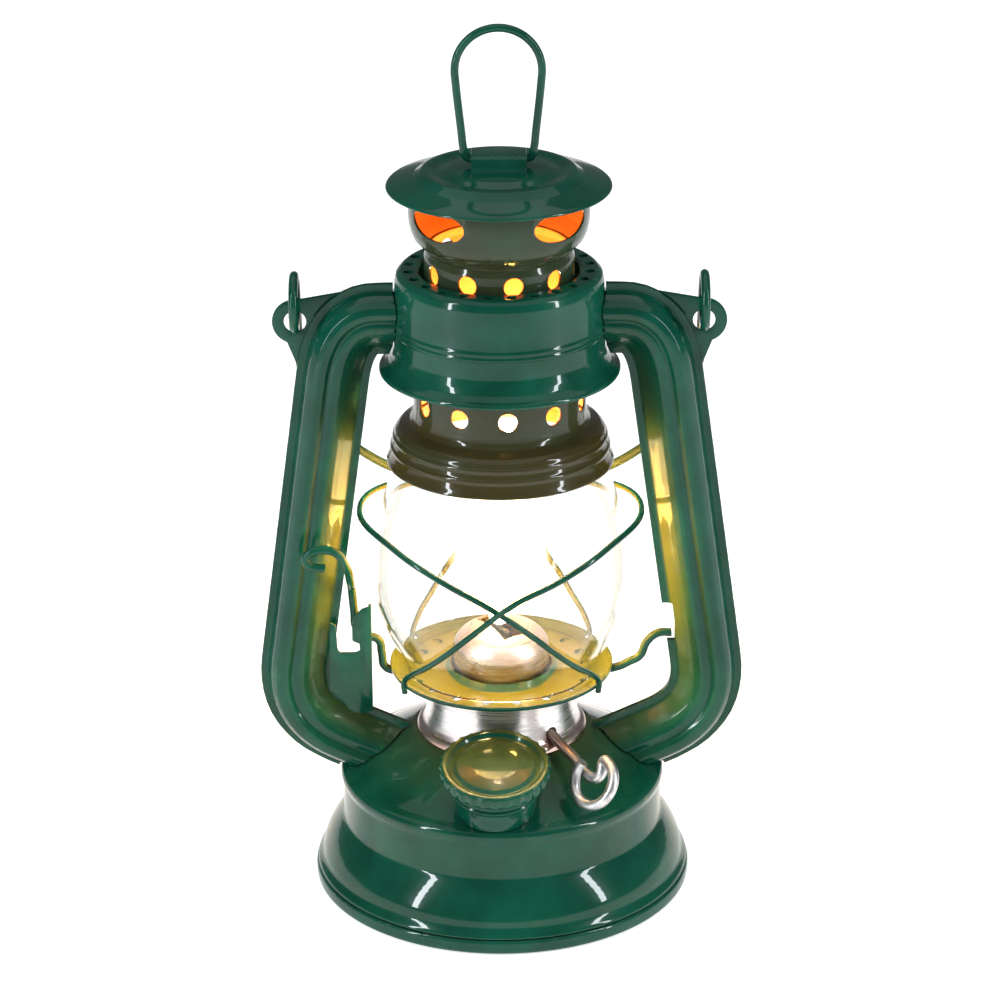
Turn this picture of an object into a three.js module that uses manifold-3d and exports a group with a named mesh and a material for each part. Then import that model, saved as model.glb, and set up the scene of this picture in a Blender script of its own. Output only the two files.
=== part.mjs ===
// A small hurricane lamp that burns kerosene. Millimetres, +Z up, origin on the ground under its axis.
// The front of the lamp faces -Y. An air tube stands on its left (-X) and another on its right (+X).
import * as THREE from 'three';
import { mergeVertices } from 'three/addons/utils/BufferGeometryUtils.js';
import Module from 'manifold-3d';

const wasm = await Module();
wasm.setup();

// ---- Driving dimensions ----
const SHEET = 0.8; // pressed tinplate with its enamel
const GAP = 0.3; // between pieces that touch
const SLIDE_GAP = 0.9; // round pieces that slide through others
const ROUND = 24; // facets of a large round piece

const FOOT_R = 57.5;
const FOOT_BAND = 4.4; // height of the rolled band that the lamp stands on
const FLOOR_RECESS = 3.0;
const TANK_R = 48.7;
const FLARE_TOP_Z = 20.5; // where the foot's flare becomes the tank's upright wall
const SHOULDER_Z = 36.0;
const CONE_RISE = 12.0;
const CONE_TOP_R = 26.6;
const THROAT_R = 12.4; // hole in the tank that takes the burner

const AIR_COLLAR_R = 23.2;
const AIR_COLLAR_HEIGHT = 18.8;
const AIR_COLLAR_FLANGE = 2.6;

const PLATE_R = 33.1;
const PLATE_RISE = 2.4; // rim above the plate's floor
const DOME_R = 14.6;
const DOME_WALL = 8.0;
const DOME_RISE = 8.5;

const GLOBE_HEIGHT = 77.5;
const GLOBE_R = 38.7;
const GLOBE_FOOT_R = 28.8;
const NECK_SEAT = 3.6; // of the globe's neck beyond the cap's drum, which sits on it
const GLASS = 1.6;

const CAP_SKIRT = 11.0; // rim below the step that rests on the globe
const CAP_SKIRT_ROOM = 4.6; // from the globe's neck to the skirt's rim
const CAP_SHOULDER = 3.6; // from the chimney to the cap's drum
const CAP_DRUM_HEIGHT = 27.0;
const VENT_R = 2.85;

const CHIMNEY_R = 22.0;
const CHIMNEY_HEIGHT = 26.6;
const BOWL_SWELL = 4.5; // of the bowl beyond the chimney
const BOWL_HEIGHT = 20.5;
const OVAL_WIDTH = 20.5;
const OVAL_HEIGHT = 9.6;

const HOOD_OVERHANG = 6.4;
const HOOD_RISE = 6.0;
const BRIDGE_WIDTH = 16.0;
const BRIDGE_SPAN = 10.4;
const RING_WIRE_R = 1.2;
const RING_EYE_R = 12.5;
const RING_HEIGHT = 26.4; // from the bar under the bridge to the centre of the eye

const DRUM_ROOM = 5.3; // between the globe cap's drum and the collar drum
const DRUM_ROLL = 4.8; // of the rolled rim beyond the collar drum
const DRUM_HEIGHT = 30.5;
const LIFT_ROOM = 20.4; // travel of the globe and chimney under the drum's top

const TUBE_WIDTH = 21.6;
const TUBE_DEPTH = 8.6; // of each half
const OUTER_FLANGE = 2.4;
const INNER_FLANGE = 2.0;
const TUBE_TOP_DROP = 15.6; // from the drum's top to the tube's centre line
const TUBE_SET_IN = 2.7; // of the tubes' inner edge at the top, inside the globe's swell
const TUBE_SPREAD = 17.5; // of the tubes from the top to the foot
const TUBE_FOOT_RISE = 18.0; // of the tube's lower corner above the shoulder
const TUBE_FOOT_SLOPE = 25 * Math.PI / 180;

const EAR_STAND = 2.4; // of the ear's eye beyond the tube's edge at the top
const EAR_R = 6.8;
const EAR_HOLE_R = 3.3;
const BAIL_WIRE_R = 1.4;
const BAIL_EYE_R = 7.8;
const BAIL_DROP = 31.0; // from the centre of the eyes to the centre of the arc
const BAIL_REST = 1.8; // between the bail and the guard wires behind the globe

const GUARD_WIRE_R = 0.9;
const GUARD_STAND = 3.8; // of the outer guard wire beyond the globe's swell, where the two cross
const GUARD_CROSSING = 2.4; // between the two wires' centres where they cross
const GUARD_FOOT = 62 * Math.PI / 180; // from the front to where a guard wire hooks into the plate
const LIFT_WIRE_R = 1.3;
const GLOBE_LIFT = 8.0;

const WICK_WIDTH = 12.0;
const WICK_THICK = 2.0;
const WICK_TOP = 3.2; // above the wick tube
const SHAFT_R = 1.55;
const SHAFT_OFFSET = 3.4; // from the lamp's axis to the knob's shaft
const SHAFT_AZIMUTH = 32 * Math.PI / 180; // right of the front
const SHAFT_SLOPE = 12.7 * Math.PI / 180;
const KNOB_REACH = 49.4;
const KNOB_RING_R = 6.9;
const KNOB_TURN = 62 * Math.PI / 180; // of the ring about its shaft
const WHEEL_R = 3.0;

const CAP_TILT = 14 * Math.PI / 180;
const FILLER_REACH = 41.0;
const FILLER_X = -2.0;
const FILLER_TOP_RISE = 19.0; // of the cap's top above the shoulder
const FILLER_CAP_R = 16.8;
const FILLER_SKIRT_R = 13.6;
const FILLER_SKIRT_DEPTH = 7.2;
const FILLER_NECK_R = 11.0;

// ---- Radii and reaches that follow from them ----
const CAP_DRUM_R = CHIMNEY_R + CAP_SHOULDER;
const GLOBE_NECK_R = CAP_DRUM_R + NECK_SEAT;
const CAP_RIM_R = GLOBE_NECK_R + CAP_SKIRT_ROOM;
const BOWL_R = CHIMNEY_R + BOWL_SWELL;
const HOOD_R = BOWL_R + HOOD_OVERHANG;
const DRUM_R = CAP_DRUM_R + DRUM_ROOM;
const DRUM_RIM_R = DRUM_R + DRUM_ROLL;
const TUBE_TOP_REACH = GLOBE_R - TUBE_SET_IN + TUBE_WIDTH / 2;
const TUBE_FOOT_REACH = TUBE_TOP_REACH + TUBE_SPREAD;
const EAR_REACH = TUBE_TOP_REACH + TUBE_WIDTH / 2 + EAR_STAND;
const BAIL_ARC_R = EAR_REACH;
const GUARD_REACH = GLOBE_R + GUARD_STAND;
const BAIL_LEAN = Math.asin((GUARD_REACH + GUARD_WIRE_R + BAIL_REST + BAIL_WIRE_R)
  / Math.hypot(BAIL_EYE_R, BAIL_DROP + BAIL_ARC_R)) - Math.atan2(BAIL_EYE_R, BAIL_DROP + BAIL_ARC_R);

// ---- Heights, stacked from the ground up ----
const TANK_TOP_Z = SHOULDER_Z + SHEET + CONE_RISE;
const COLLAR_TOP_Z = TANK_TOP_Z + GAP + AIR_COLLAR_HEIGHT;
const PLATE_Z = COLLAR_TOP_Z + GAP + SHEET; // top of the plate's floor
const LIFT_WIRE_Z = PLATE_Z - SHEET - GAP - LIFT_WIRE_R;
const GLOBE_Z = PLATE_Z + GAP;
const GLOBE_TOP_Z = GLOBE_Z + GLOBE_HEIGHT;
const CAP_STEP_Z = GLOBE_TOP_Z + GAP + SHEET;
const CAP_TOP_Z = CAP_STEP_Z + CAP_DRUM_HEIGHT;
const DRUM_TOP_Z = CAP_TOP_Z + LIFT_ROOM + SHEET;
const CHIMNEY_TOP_Z = CAP_TOP_Z + GAP + CHIMNEY_HEIGHT;
const BOWL_TOP_Z = CHIMNEY_TOP_Z + GAP + BOWL_HEIGHT;
const HOOD_RIM_Z = BOWL_TOP_Z - 1.2;
const HOOD_TOP_Z = HOOD_RIM_Z + HOOD_RISE;
const RING_BAR_Z = HOOD_TOP_Z + 0.6 + RING_WIRE_R;
const TUBE_TOP_Z = DRUM_TOP_Z - TUBE_TOP_DROP;
const EAR_Z = TUBE_TOP_Z - 1.0;
const CONE_SLOPE = Math.atan2(CONE_RISE, TANK_R - 2 - CONE_TOP_R);

// ---- Materials ----
function paint(color, roughness, metalness) {
  return new THREE.MeshStandardMaterial({ color, roughness, metalness });
}
const enamel = paint(0x0f5a40, 0.18, 0.3);
const bareTin = paint(0xb8b0aa, 0.38, 0.9);
const zinc = paint(0xc9c9cc, 0.42, 0.85);
const brass = paint(0xb8913f, 0.35, 0.9);
const glass = paint(0xf4f7f5, 0.04, 0);
glass.transparent = true;
glass.opacity = 0.35;
const cotton = paint(0xe8ddc4, 0.95, 0);
const rubber = paint(0x14120f, 0.9, 0);

// ---- Solids ----
const { sin, cos, tan, PI, hypot } = Math;
const lamp = new THREE.Group();

function solid(geometry) {
  const bare = geometry.clone();
  bare.deleteAttribute('normal');
  bare.deleteAttribute('uv');
  const merged = mergeVertices(bare, 1e-3);
  return new wasm.Manifold(new wasm.Mesh({
    numProp: 3,
    vertProperties: new Float32Array(merged.attributes.position.array),
    triVerts: new Uint32Array(merged.index.array),
  }));
}

function addPiece(name, material, body) {
  const { numProp, vertProperties, triVerts } = body.getMesh();
  const corners = new Float32Array(triVerts.length * 3);
  triVerts.forEach((vertex, i) => corners.set(vertProperties.subarray(vertex * numProp,
    vertex * numProp + 3), i * 3));
  const geometry = new THREE.BufferGeometry();
  geometry.setAttribute('position', new THREE.BufferAttribute(corners, 3));
  geometry.computeVertexNormals();
  const mesh = new THREE.Mesh(geometry, material);
  mesh.name = name;
  lamp.add(mesh);
}

const cutAll = (body, tools) => tools.reduce((rest, tool) => rest.subtract(tool), body);
const joinAll = (bodies) => bodies.reduce((whole, next) => whole.add(next));

// A closed outline of a sheet of even thickness that lies to the left of a line of points.
function sheetOutline(line, thickness = SHEET) {
  const points = line.map(([a, b]) => new THREE.Vector2(a, b));
  const directions = points.slice(1).map((point, i) => point.clone().sub(points[i]).normalize());
  const backs = points.map((point, i) => {
    const before = directions[Math.max(i - 1, 0)];
    const after = directions[Math.min(i, directions.length - 1)];
    const across = before.clone().add(after).normalize();
    const reach = thickness / Math.max(across.dot(before), 0.5);
    return [point.x - across.y * reach, point.y + across.x * reach];
  });
  return [...line, ...backs.reverse()];
}

// A round piece about Z from an outline of [radius, height] points.
function turned(outline, facets = ROUND) {
  const clean = outline.map(([r, z]) => new THREE.Vector2(r < 0.01 ? 0 : r, z));
  if (THREE.ShapeUtils.area(clean) < 0) clean.reverse();
  const onAxis = clean.findIndex((point) => point.x === 0);
  if (onAxis < 0) clean.push(clean[0].clone());
  else {
    while (clean[0].x !== 0 || clean[clean.length - 1].x !== 0) clean.push(clean.shift());
  }
  return solid(new THREE.LatheGeometry(clean, facets).rotateX(PI / 2));
}

const turnedSheet = (line, facets = ROUND, thickness = SHEET) => turned(sheetOutline(line, thickness),
  facets);
const rod = (r, length, facets = 12) => new THREE.CylinderGeometry(r, r, length, facets).rotateX(PI / 2);
const block = (x, y, z, [cx, cy, cz]) => solid(new THREE.BoxGeometry(x, y, z).translate(cx, cy, cz));
const upright = (r, low, high, facets = ROUND) => solid(rod(r, high - low, facets).translate(0, 0,
  (low + high) / 2));

// Cutters of round holes through an upright wall: one at each angle, right of the front.
function radialCutters(angles, r, z, wallR, width = 1, facets = 8) {
  return angles.map((angle) => solid(new THREE.CylinderGeometry(r, r, 12, facets)
    .scale(width, 1, 1).translate(0, -wallR, z).rotateZ(angle)));
}

function ringCutters(count, r, ringR, z, height, facets = 6) {
  return Array.from({ length: count }, (_, i) => solid(rod(r, height, facets)
    .translate(0, -ringR, z).rotateZ((i + 0.5) * 2 * PI / count)));
}

const evenly = (count, start = 0) => Array.from({ length: count }, (_, i) => start + i * 2 * PI / count);

const roundSection = (r, sides = 8) => new THREE.Shape(evenly(sides, PI / sides)
  .map((a) => new THREE.Vector2(r * cos(a), r * sin(a))));

function wire(points, r, steps, sides = 8) {
  const route = new THREE.CatmullRomCurve3(points.map(([x, y, z]) => new THREE.Vector3(x, y, z)), false,
    'centripetal');
  return solid(new THREE.ExtrudeGeometry(roundSection(r, sides),
    { steps, extrudePath: route, bevelEnabled: false }));
}

const arcPoints = (count, from, to, place) => Array.from({ length: count + 1 },
  (_, i) => place(from + (to - from) * i / count));

// ---- Tank, foot and filler ----
const coneLine = (r) => SHOULDER_Z + SHEET + (TANK_R - 2 - r) * tan(CONE_SLOPE);

const tankLine = [
  [FOOT_R - 0.5, FOOT_BAND + GAP + 0.2],
  [FOOT_R - 0.8, FOOT_BAND + 1.4],
  ...arcPoints(4, 0, 1, (t) => [
    TANK_R + (FOOT_R - 2.1 - TANK_R) * (1 - t ** 1.7),
    FOOT_BAND + 3.1 + (FLARE_TOP_Z - FOOT_BAND - 3.1) * t,
  ]),
  [TANK_R, SHOULDER_Z - 2.8],
  [TANK_R + 0.5, SHOULDER_Z - 2.0],
  [TANK_R + 0.5, SHOULDER_Z - 0.6],
  [TANK_R - 0.6, SHOULDER_Z + 0.4],
  [TANK_R - 2, SHOULDER_Z + SHEET],
  [CONE_TOP_R, TANK_TOP_Z],
  [THROAT_R + GAP, TANK_TOP_Z],
];

// The tank and the gap around it, which whatever stands on the tank is cut to.
function tankEnvelope() {
  const inner = CONE_TOP_R - 10;
  const outer = TANK_R + 0.5 + GAP;
  return turned([[0, -10], [outer, -10], [outer, SHOULDER_Z - 0.4], [TANK_R - 0.4, SHOULDER_Z + 0.9],
    [TANK_R - 2, SHOULDER_Z + SHEET + GAP + 0.1], [inner, coneLine(inner) + GAP + 0.1],
    [0, coneLine(inner) + GAP + 0.1]], 90);
}

function aboutFiller(geometry) {
  return solid(geometry.rotateX(CAP_TILT).translate(FILLER_X, -FILLER_REACH, SHOULDER_Z + FILLER_TOP_RISE));
}
const fillerTurned = (outline, facets) => turned(outline, facets).rotate([CAP_TILT * 180 / PI, 0, 0])
  .translate([FILLER_X, -FILLER_REACH, SHOULDER_Z + FILLER_TOP_RISE]);

function makeTank() {
  const fillerHole = aboutFiller(rod(FILLER_NECK_R - SHEET, 40, 24));
  addPiece('tank_shell', enamel, turnedSheet(tankLine, 30).subtract(fillerHole));
  addPiece('tank_bottom', enamel, turned([
    [0, FLOOR_RECESS], [FOOT_R - 4.2, FLOOR_RECESS], [FOOT_R - 2.4, 0.4], [FOOT_R - 1.9, 0],
    [FOOT_R - 0.6, 0],
    [FOOT_R, 0.6], [FOOT_R, FOOT_BAND - 0.4], [FOOT_R - 0.5, FOOT_BAND], [FOOT_R - 2.6, FOOT_BAND],
    [FOOT_R - 3.8, FLOOR_RECESS + SHEET], [0, FLOOR_RECESS + SHEET],
  ], 30));
}

function makeFiller() {
  // Height 0 is the cap's top, and the neck's foot is cut to the tank's cone.
  const skirtEnd = -FILLER_SKIRT_DEPTH;
  const neckFoot = -22;
  const neck = fillerTurned([
    [FILLER_NECK_R - SHEET, neckFoot], [FILLER_SKIRT_R - 1.2, neckFoot],
    [FILLER_SKIRT_R - 0.8, skirtEnd - 2.2],
    [FILLER_SKIRT_R - 0.2, skirtEnd - 1.2], [FILLER_SKIRT_R - 0.6, skirtEnd - GAP],
    [FILLER_NECK_R, skirtEnd - GAP], [FILLER_NECK_R, -2.4], [FILLER_NECK_R - SHEET, -2.4],
  ], 20);
  addPiece('filler_neck', enamel, neck.subtract(tankEnvelope()));

  const skirtWall = FILLER_SKIRT_R - SHEET;
  const cap = fillerTurned([
    [0, 0.3], [FILLER_CAP_R - 4.4, 0], [FILLER_CAP_R - 3.2, -0.6], [FILLER_CAP_R - 1.6, 0.2],
    [FILLER_CAP_R - 0.4, -0.2],
    [FILLER_CAP_R, -1.0], [FILLER_CAP_R - 0.4, -3.9], [FILLER_SKIRT_R + 0.4, -4.6], [FILLER_SKIRT_R, -5.4],
    [FILLER_SKIRT_R + 0.3, -6.2], [FILLER_SKIRT_R, skirtEnd], [skirtWall - 0.9, skirtEnd],
    [skirtWall - 0.9, -3.2],
    [skirtWall, -1.0], [0, -0.8],
  ], 28);
  addPiece('filler_cap', enamel, cap);
  addPiece('cap_gasket', rubber, fillerTurned([
    [FILLER_NECK_R - 3.6, -2.1], [FILLER_NECK_R + 0.2, -2.1], [FILLER_NECK_R + 0.2, -1.3],
    [FILLER_NECK_R - 3.6, -1.3],
  ], 24));
}

// ---- Burner ----
const DOME_FOOT_Z = COLLAR_TOP_Z - 0.9;
const WICK_TUBE_TOP_Z = DOME_FOOT_Z + DOME_WALL + DOME_RISE - 4.6;
const shaftAim = new THREE.Vector3(sin(SHAFT_AZIMUTH) * cos(SHAFT_SLOPE),
  -cos(SHAFT_AZIMUTH) * cos(SHAFT_SLOPE),
  -sin(SHAFT_SLOPE));
const wickAcross = new THREE.Vector3(cos(SHAFT_AZIMUTH), sin(SHAFT_AZIMUTH), 0);
const shaftReach = hypot(KNOB_REACH, SHAFT_OFFSET);
const SHAFT_Z = TANK_TOP_Z + 9.8; // where the shaft passes the lamp's axis
const shaftStart = wickAcross.clone().multiplyScalar(SHAFT_OFFSET).setZ(SHAFT_Z);
const WICK_OFFSET = WHEEL_R + 0.4 + WICK_THICK / 2 - SHAFT_OFFSET;

// A flat upright bar along the wick's width, moved sideways off the lamp's axis.
const wickBar = (width, thick, low, high) => solid(new THREE.BoxGeometry(thick, width, high - low)
  .translate(-WICK_OFFSET, 0, (low + high) / 2).rotateZ(SHAFT_AZIMUTH));

// Turns a shape made about Z onto the knob's shaft.
function alongShaft(geometry, distance) {
  const turn = new THREE.Quaternion().setFromUnitVectors(new THREE.Vector3(0, 0, 1), shaftAim);
  const middle = shaftStart.clone().addScaledVector(shaftAim, distance);
  return solid(geometry.applyQuaternion(turn).translate(middle.x, middle.y, middle.z));
}

function makeBurner() {
  const shaftHole = alongShaft(rod(SHAFT_R + 0.6, 32, 12), 24);
  addPiece('air_collar', bareTin, turnedSheet([
    [AIR_COLLAR_R + AIR_COLLAR_FLANGE, TANK_TOP_Z + GAP],
    [AIR_COLLAR_R + AIR_COLLAR_FLANGE - 0.4, TANK_TOP_Z + 1.6],
    [AIR_COLLAR_R + 0.4, TANK_TOP_Z + 2.8], [AIR_COLLAR_R - 0.2, TANK_TOP_Z + 6],
    [AIR_COLLAR_R - 0.3, COLLAR_TOP_Z - 7], [AIR_COLLAR_R + 0.2, COLLAR_TOP_Z - 3],
    [AIR_COLLAR_R + 0.4, COLLAR_TOP_Z],
  ]).subtract(shaftHole));
  addPiece('throat_ring', brass, turned([
    [THROAT_R - 1.4, TANK_TOP_Z - 7], [THROAT_R, TANK_TOP_Z - 7], [THROAT_R, TANK_TOP_Z + GAP],
    [THROAT_R + 2.4, TANK_TOP_Z + GAP], [THROAT_R + 2.4, TANK_TOP_Z + 1.2],
    [THROAT_R - 1.4, TANK_TOP_Z + 1.2],
  ], 28));
  const baseTop = TANK_TOP_Z + 2.4;
  const tubeClear = wickBar(WICK_WIDTH + 4 + 2 * GAP, WICK_THICK + 2.4 + 2 * GAP, 0, COLLAR_TOP_Z + 40);
  addPiece('burner_base', brass, turned([
    [0, TANK_TOP_Z - 6], [THROAT_R - 1.7, TANK_TOP_Z - 6], [THROAT_R - 1.7, TANK_TOP_Z + 1.5],
    [THROAT_R + 2, TANK_TOP_Z + 1.5], [THROAT_R + 2, baseTop], [0, baseTop],
  ], 28).subtract(tubeClear));

  const tubeLow = TANK_TOP_Z - 12;
  const wheelSlot = wickBar(WICK_WIDTH, 6, SHAFT_Z - 4.4, SHAFT_Z + 4.4)
    .translate([wickAcross.x * 4, wickAcross.y * 4, 0]);
  addPiece('wick_tube', brass, wickBar(WICK_WIDTH + 4, WICK_THICK + 2.4, tubeLow, WICK_TUBE_TOP_Z)
    .subtract(wickBar(WICK_WIDTH + 1, WICK_THICK + 0.8, tubeLow - 1,
      WICK_TUBE_TOP_Z + 1)).subtract(wheelSlot));
  addPiece('wick', cotton, wickBar(WICK_WIDTH, WICK_THICK, FLOOR_RECESS + 12, WICK_TUBE_TOP_Z + WICK_TOP));

  const galleryZ = DOME_FOOT_Z - GAP;
  addPiece('air_gallery', brass, cutAll(turned([
    [0, galleryZ - SHEET], [AIR_COLLAR_R - 1.8, galleryZ - SHEET], [AIR_COLLAR_R - 1.8, galleryZ],
    [0, galleryZ],
  ], 24).subtract(tubeClear), [...ringCutters(12, 1.3, AIR_COLLAR_R - 5, galleryZ, 4),
    ...ringCutters(8, 1.2, DOME_R - 3.4, galleryZ, 4)]));
  const slot = wickBar(WICK_WIDTH + 6, WICK_THICK + 5, DOME_FOOT_Z + DOME_WALL + 2, COLLAR_TOP_Z + 40);
  addPiece('burner_dome', bareTin, turnedSheet([
    [DOME_R, DOME_FOOT_Z], [DOME_R, DOME_FOOT_Z + DOME_WALL],
    ...arcPoints(5, 0.12, 1, (t) => [DOME_R * cos(t * PI / 2),
      DOME_FOOT_Z + DOME_WALL + DOME_RISE * sin(t * PI / 2)]),
  ], 24).subtract(slot));
}

function makeWickKnob() {
  // The ring stands in a plane through its shaft. across lies in that plane, over stands up from it.
  const over = new THREE.Vector3(0, 0, 1).projectOnPlane(shaftAim).normalize().applyAxisAngle(shaftAim,
    KNOB_TURN);
  const across = new THREE.Vector3().crossVectors(over, shaftAim);
  const place = (along, side, rise) => shaftStart.clone().addScaledVector(shaftAim, along)
    .addScaledVector(across, side).addScaledVector(over, rise).toArray();
  const ring = arcPoints(14, 0.62 * PI, -1.12 * PI, (a) => place(shaftReach + KNOB_RING_R * cos(a),
    KNOB_RING_R * sin(a), 2.2 * SHAFT_R * (0.62 * PI - a) / (1.74 * PI)));
  addPiece('wick_shaft', zinc, wire([
    place(-7, 0, 0), place(4, 0, 0), place(16, 0, 0), place(shaftReach - KNOB_RING_R - 6, 0, 0),
    place(shaftReach - 2.6, 0.2, -0.6), place(shaftReach - 1.4, 2.2, -0.6), ...ring,
  ], SHAFT_R, 34, 6));
  const boreR = SHAFT_R + GAP + 0.1;
  [-4.2, 0, 4.2].forEach((along, i) => {
    const star = new THREE.Shape(evenly(20).map((a, k) => new THREE.Vector2(
      (WHEEL_R - (k % 2) * 0.9) * cos(a), (WHEEL_R - (k % 2) * 0.9) * sin(a))));
    star.holes.push(new THREE.Path(evenly(10).map((a) => new THREE.Vector2(boreR * cos(a), boreR * sin(a)))));
    const wheel = new THREE.ExtrudeGeometry(star, { depth: 1.2, bevelEnabled: false }).translate(0, 0, -0.6);
    addPiece(`wick_wheel_${i + 1}`, brass, alongShaft(wheel, along));
  });
}

// ---- Globe and its carrier ----
const lowerGlobe = (swell) => GLOBE_FOOT_R + (GLOBE_R - GLOBE_FOOT_R) * swell;
const upperGlobe = (swell) => GLOBE_NECK_R + (GLOBE_R - GLOBE_NECK_R) * swell;

// The globe's outside, as shares of its height and the radii there.
const globeLine = [
  [0, GLOBE_FOOT_R], [0.04, lowerGlobe(0.09)], [0.14, lowerGlobe(0.5)], [0.26, lowerGlobe(0.85)],
  [0.38, GLOBE_R], [0.52, upperGlobe(0.96)], [0.66, upperGlobe(0.72)], [0.8, upperGlobe(0.36)],
  [0.9, upperGlobe(0.095)], [1, GLOBE_NECK_R],
];

function globeRadiusAt(share) {
  const i = Math.max(globeLine.findIndex(([end]) => end >= share), 1);
  const [[low, lowR], [high, highR]] = [globeLine[i - 1], globeLine[i]];
  return lowR + (highR - lowR) * (share - low) / (high - low);
}

function makeGlobe() {
  addPiece('globe', glass, turnedSheet(
    globeLine.map(([share, r]) => [r, GLOBE_Z + GLOBE_HEIGHT * share]), ROUND, GLASS));
}

function makePlate() {
  const inner = DOME_R + SLIDE_GAP + 0.5;
  const rimTop = PLATE_Z + PLATE_RISE;
  const plate = turnedSheet([
    [inner, PLATE_Z + 0.8], [inner + 1, PLATE_Z - SHEET], [inner + 6, PLATE_Z - SHEET],
    [PLATE_R - 3.6, PLATE_Z - SHEET], [PLATE_R - 0.9, PLATE_Z + 0.6], [PLATE_R, rimTop - 1],
    [PLATE_R - 0.5, rimTop],
  ]);
  const pairs = evenly(8, PI / 8).flatMap((a) => [a - 0.06, a + 0.06]);
  const holes = pairs.map((a) => solid(rod(1.1, 8, 8).translate(0, -(PLATE_R - 6.4), PLATE_Z).rotateZ(a)));
  const hookNotches = [-1, 1].flatMap((side) => [0, PI].map((back) => block(5, 5, 4,
    [0, -PLATE_R, PLATE_Z + 0.6])
    .rotate([0, 0, (back + side * (GUARD_FOOT - 0.04)) * 180 / PI])));
  addPiece('globe_plate', enamel, cutAll(plate, [...holes, ...hookNotches]));
}

// Each guard wire hooks into the plate's rim, climbs over one side of the globe and comes down behind it.
function makeGuards() {
  const guardLine = (side) => {
    const around = (azimuth, r, z) => [side * r * sin(azimuth), -r * cos(azimuth), z];
    const atPlate = (azimuth, rise, out) => around(azimuth, PLATE_R + out, PLATE_Z + rise);
    const atGlobe = (azimuth, share, stand) => around(azimuth, globeRadiusAt(share) + stand,
      GLOBE_Z + GLOBE_HEIGHT * share);
    const front = [
      atPlate(-GUARD_FOOT, -2.6, -0.2), atPlate(-GUARD_FOOT, 0.4, 0.1),
        atGlobe(-GUARD_FOOT + 0.16, 0.067, 3.3),
      atGlobe(-0.69, 0.138, 1.8), atGlobe(-0.46, 0.228, 1.6), atGlobe(-0.2, 0.352, 1.9),
      atGlobe(0.08, 0.471 + side * 0.013, GUARD_STAND + (side - 1) * GUARD_CROSSING / 2),
      atGlobe(0.44, 0.556, 3.3), atGlobe(0.84, 0.623, 4.2),
    ];
    const top = atGlobe(PI / 2, 0.654, 6.1);
    const back = front.map(([x, y, z]) => [x, -y, z]).reverse();
    return [...front, top, ...back];
  };
  addPiece('guard_wire_a', enamel, wire(guardLine(1), GUARD_WIRE_R, 36, 6));
  addPiece('guard_wire_b', enamel, wire(guardLine(-1), GUARD_WIRE_R, 36, 6));
}

function makeLiftWire() {
  const underR = AIR_COLLAR_R + 4.2;
  const tubeSide = tubeEdgeAt(LIFT_WIRE_Z + 12.4) + INNER_FLANGE - 0.2;
  const z = LIFT_WIRE_Z;
  const bracketX = -(tubeSide - INNER_FLANGE) + 5.6;
  const under = arcPoints(8, PI / 2, -PI / 2, (a) => [underR * sin(a), underR * cos(a), z]);
  addPiece('lift_wire', enamel, wire([
    [tubeSide, 0, z + 12.4], [tubeSide - 4, 0, z + 12.2], [tubeSide - 7.4, 0, z + 9.4],
    [tubeSide - 9.6, 0, z + 4.6],
    [tubeSide - 13, 0, z + 2.6], [PLATE_R + 2.8, 0, z + 1.2], [underR + 2.4, 0, z],
    ...under,
    [-underR - 3.2, 0, z], [-PLATE_R - 2.2, 0, z + 1.4], [-PLATE_R - 3.2, 0, z + 6],
    [-PLATE_R - 4.2, 0, z + 10.4],
    [bracketX + 3, 0, z + 12], [bracketX + 0.4, 0, z + 14], [bracketX - 0.4, 0, z + 20],
    [bracketX - 0.9, -1, z + 27],
    [bracketX - 1.2, -6, z + 33], [bracketX - 2, -10.6, z + 39], [bracketX - 5.2, -12.6, z + 44.6],
    [bracketX - 10.4, -12.8, z + 45.4], [bracketX - 14, -12.8, z + 43], [bracketX - 12.8, -12.8, z + 40.4],
    [bracketX - 8.4, -12.6, z + 39.6],
  ], LIFT_WIRE_R, 54, 6));
}

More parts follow.
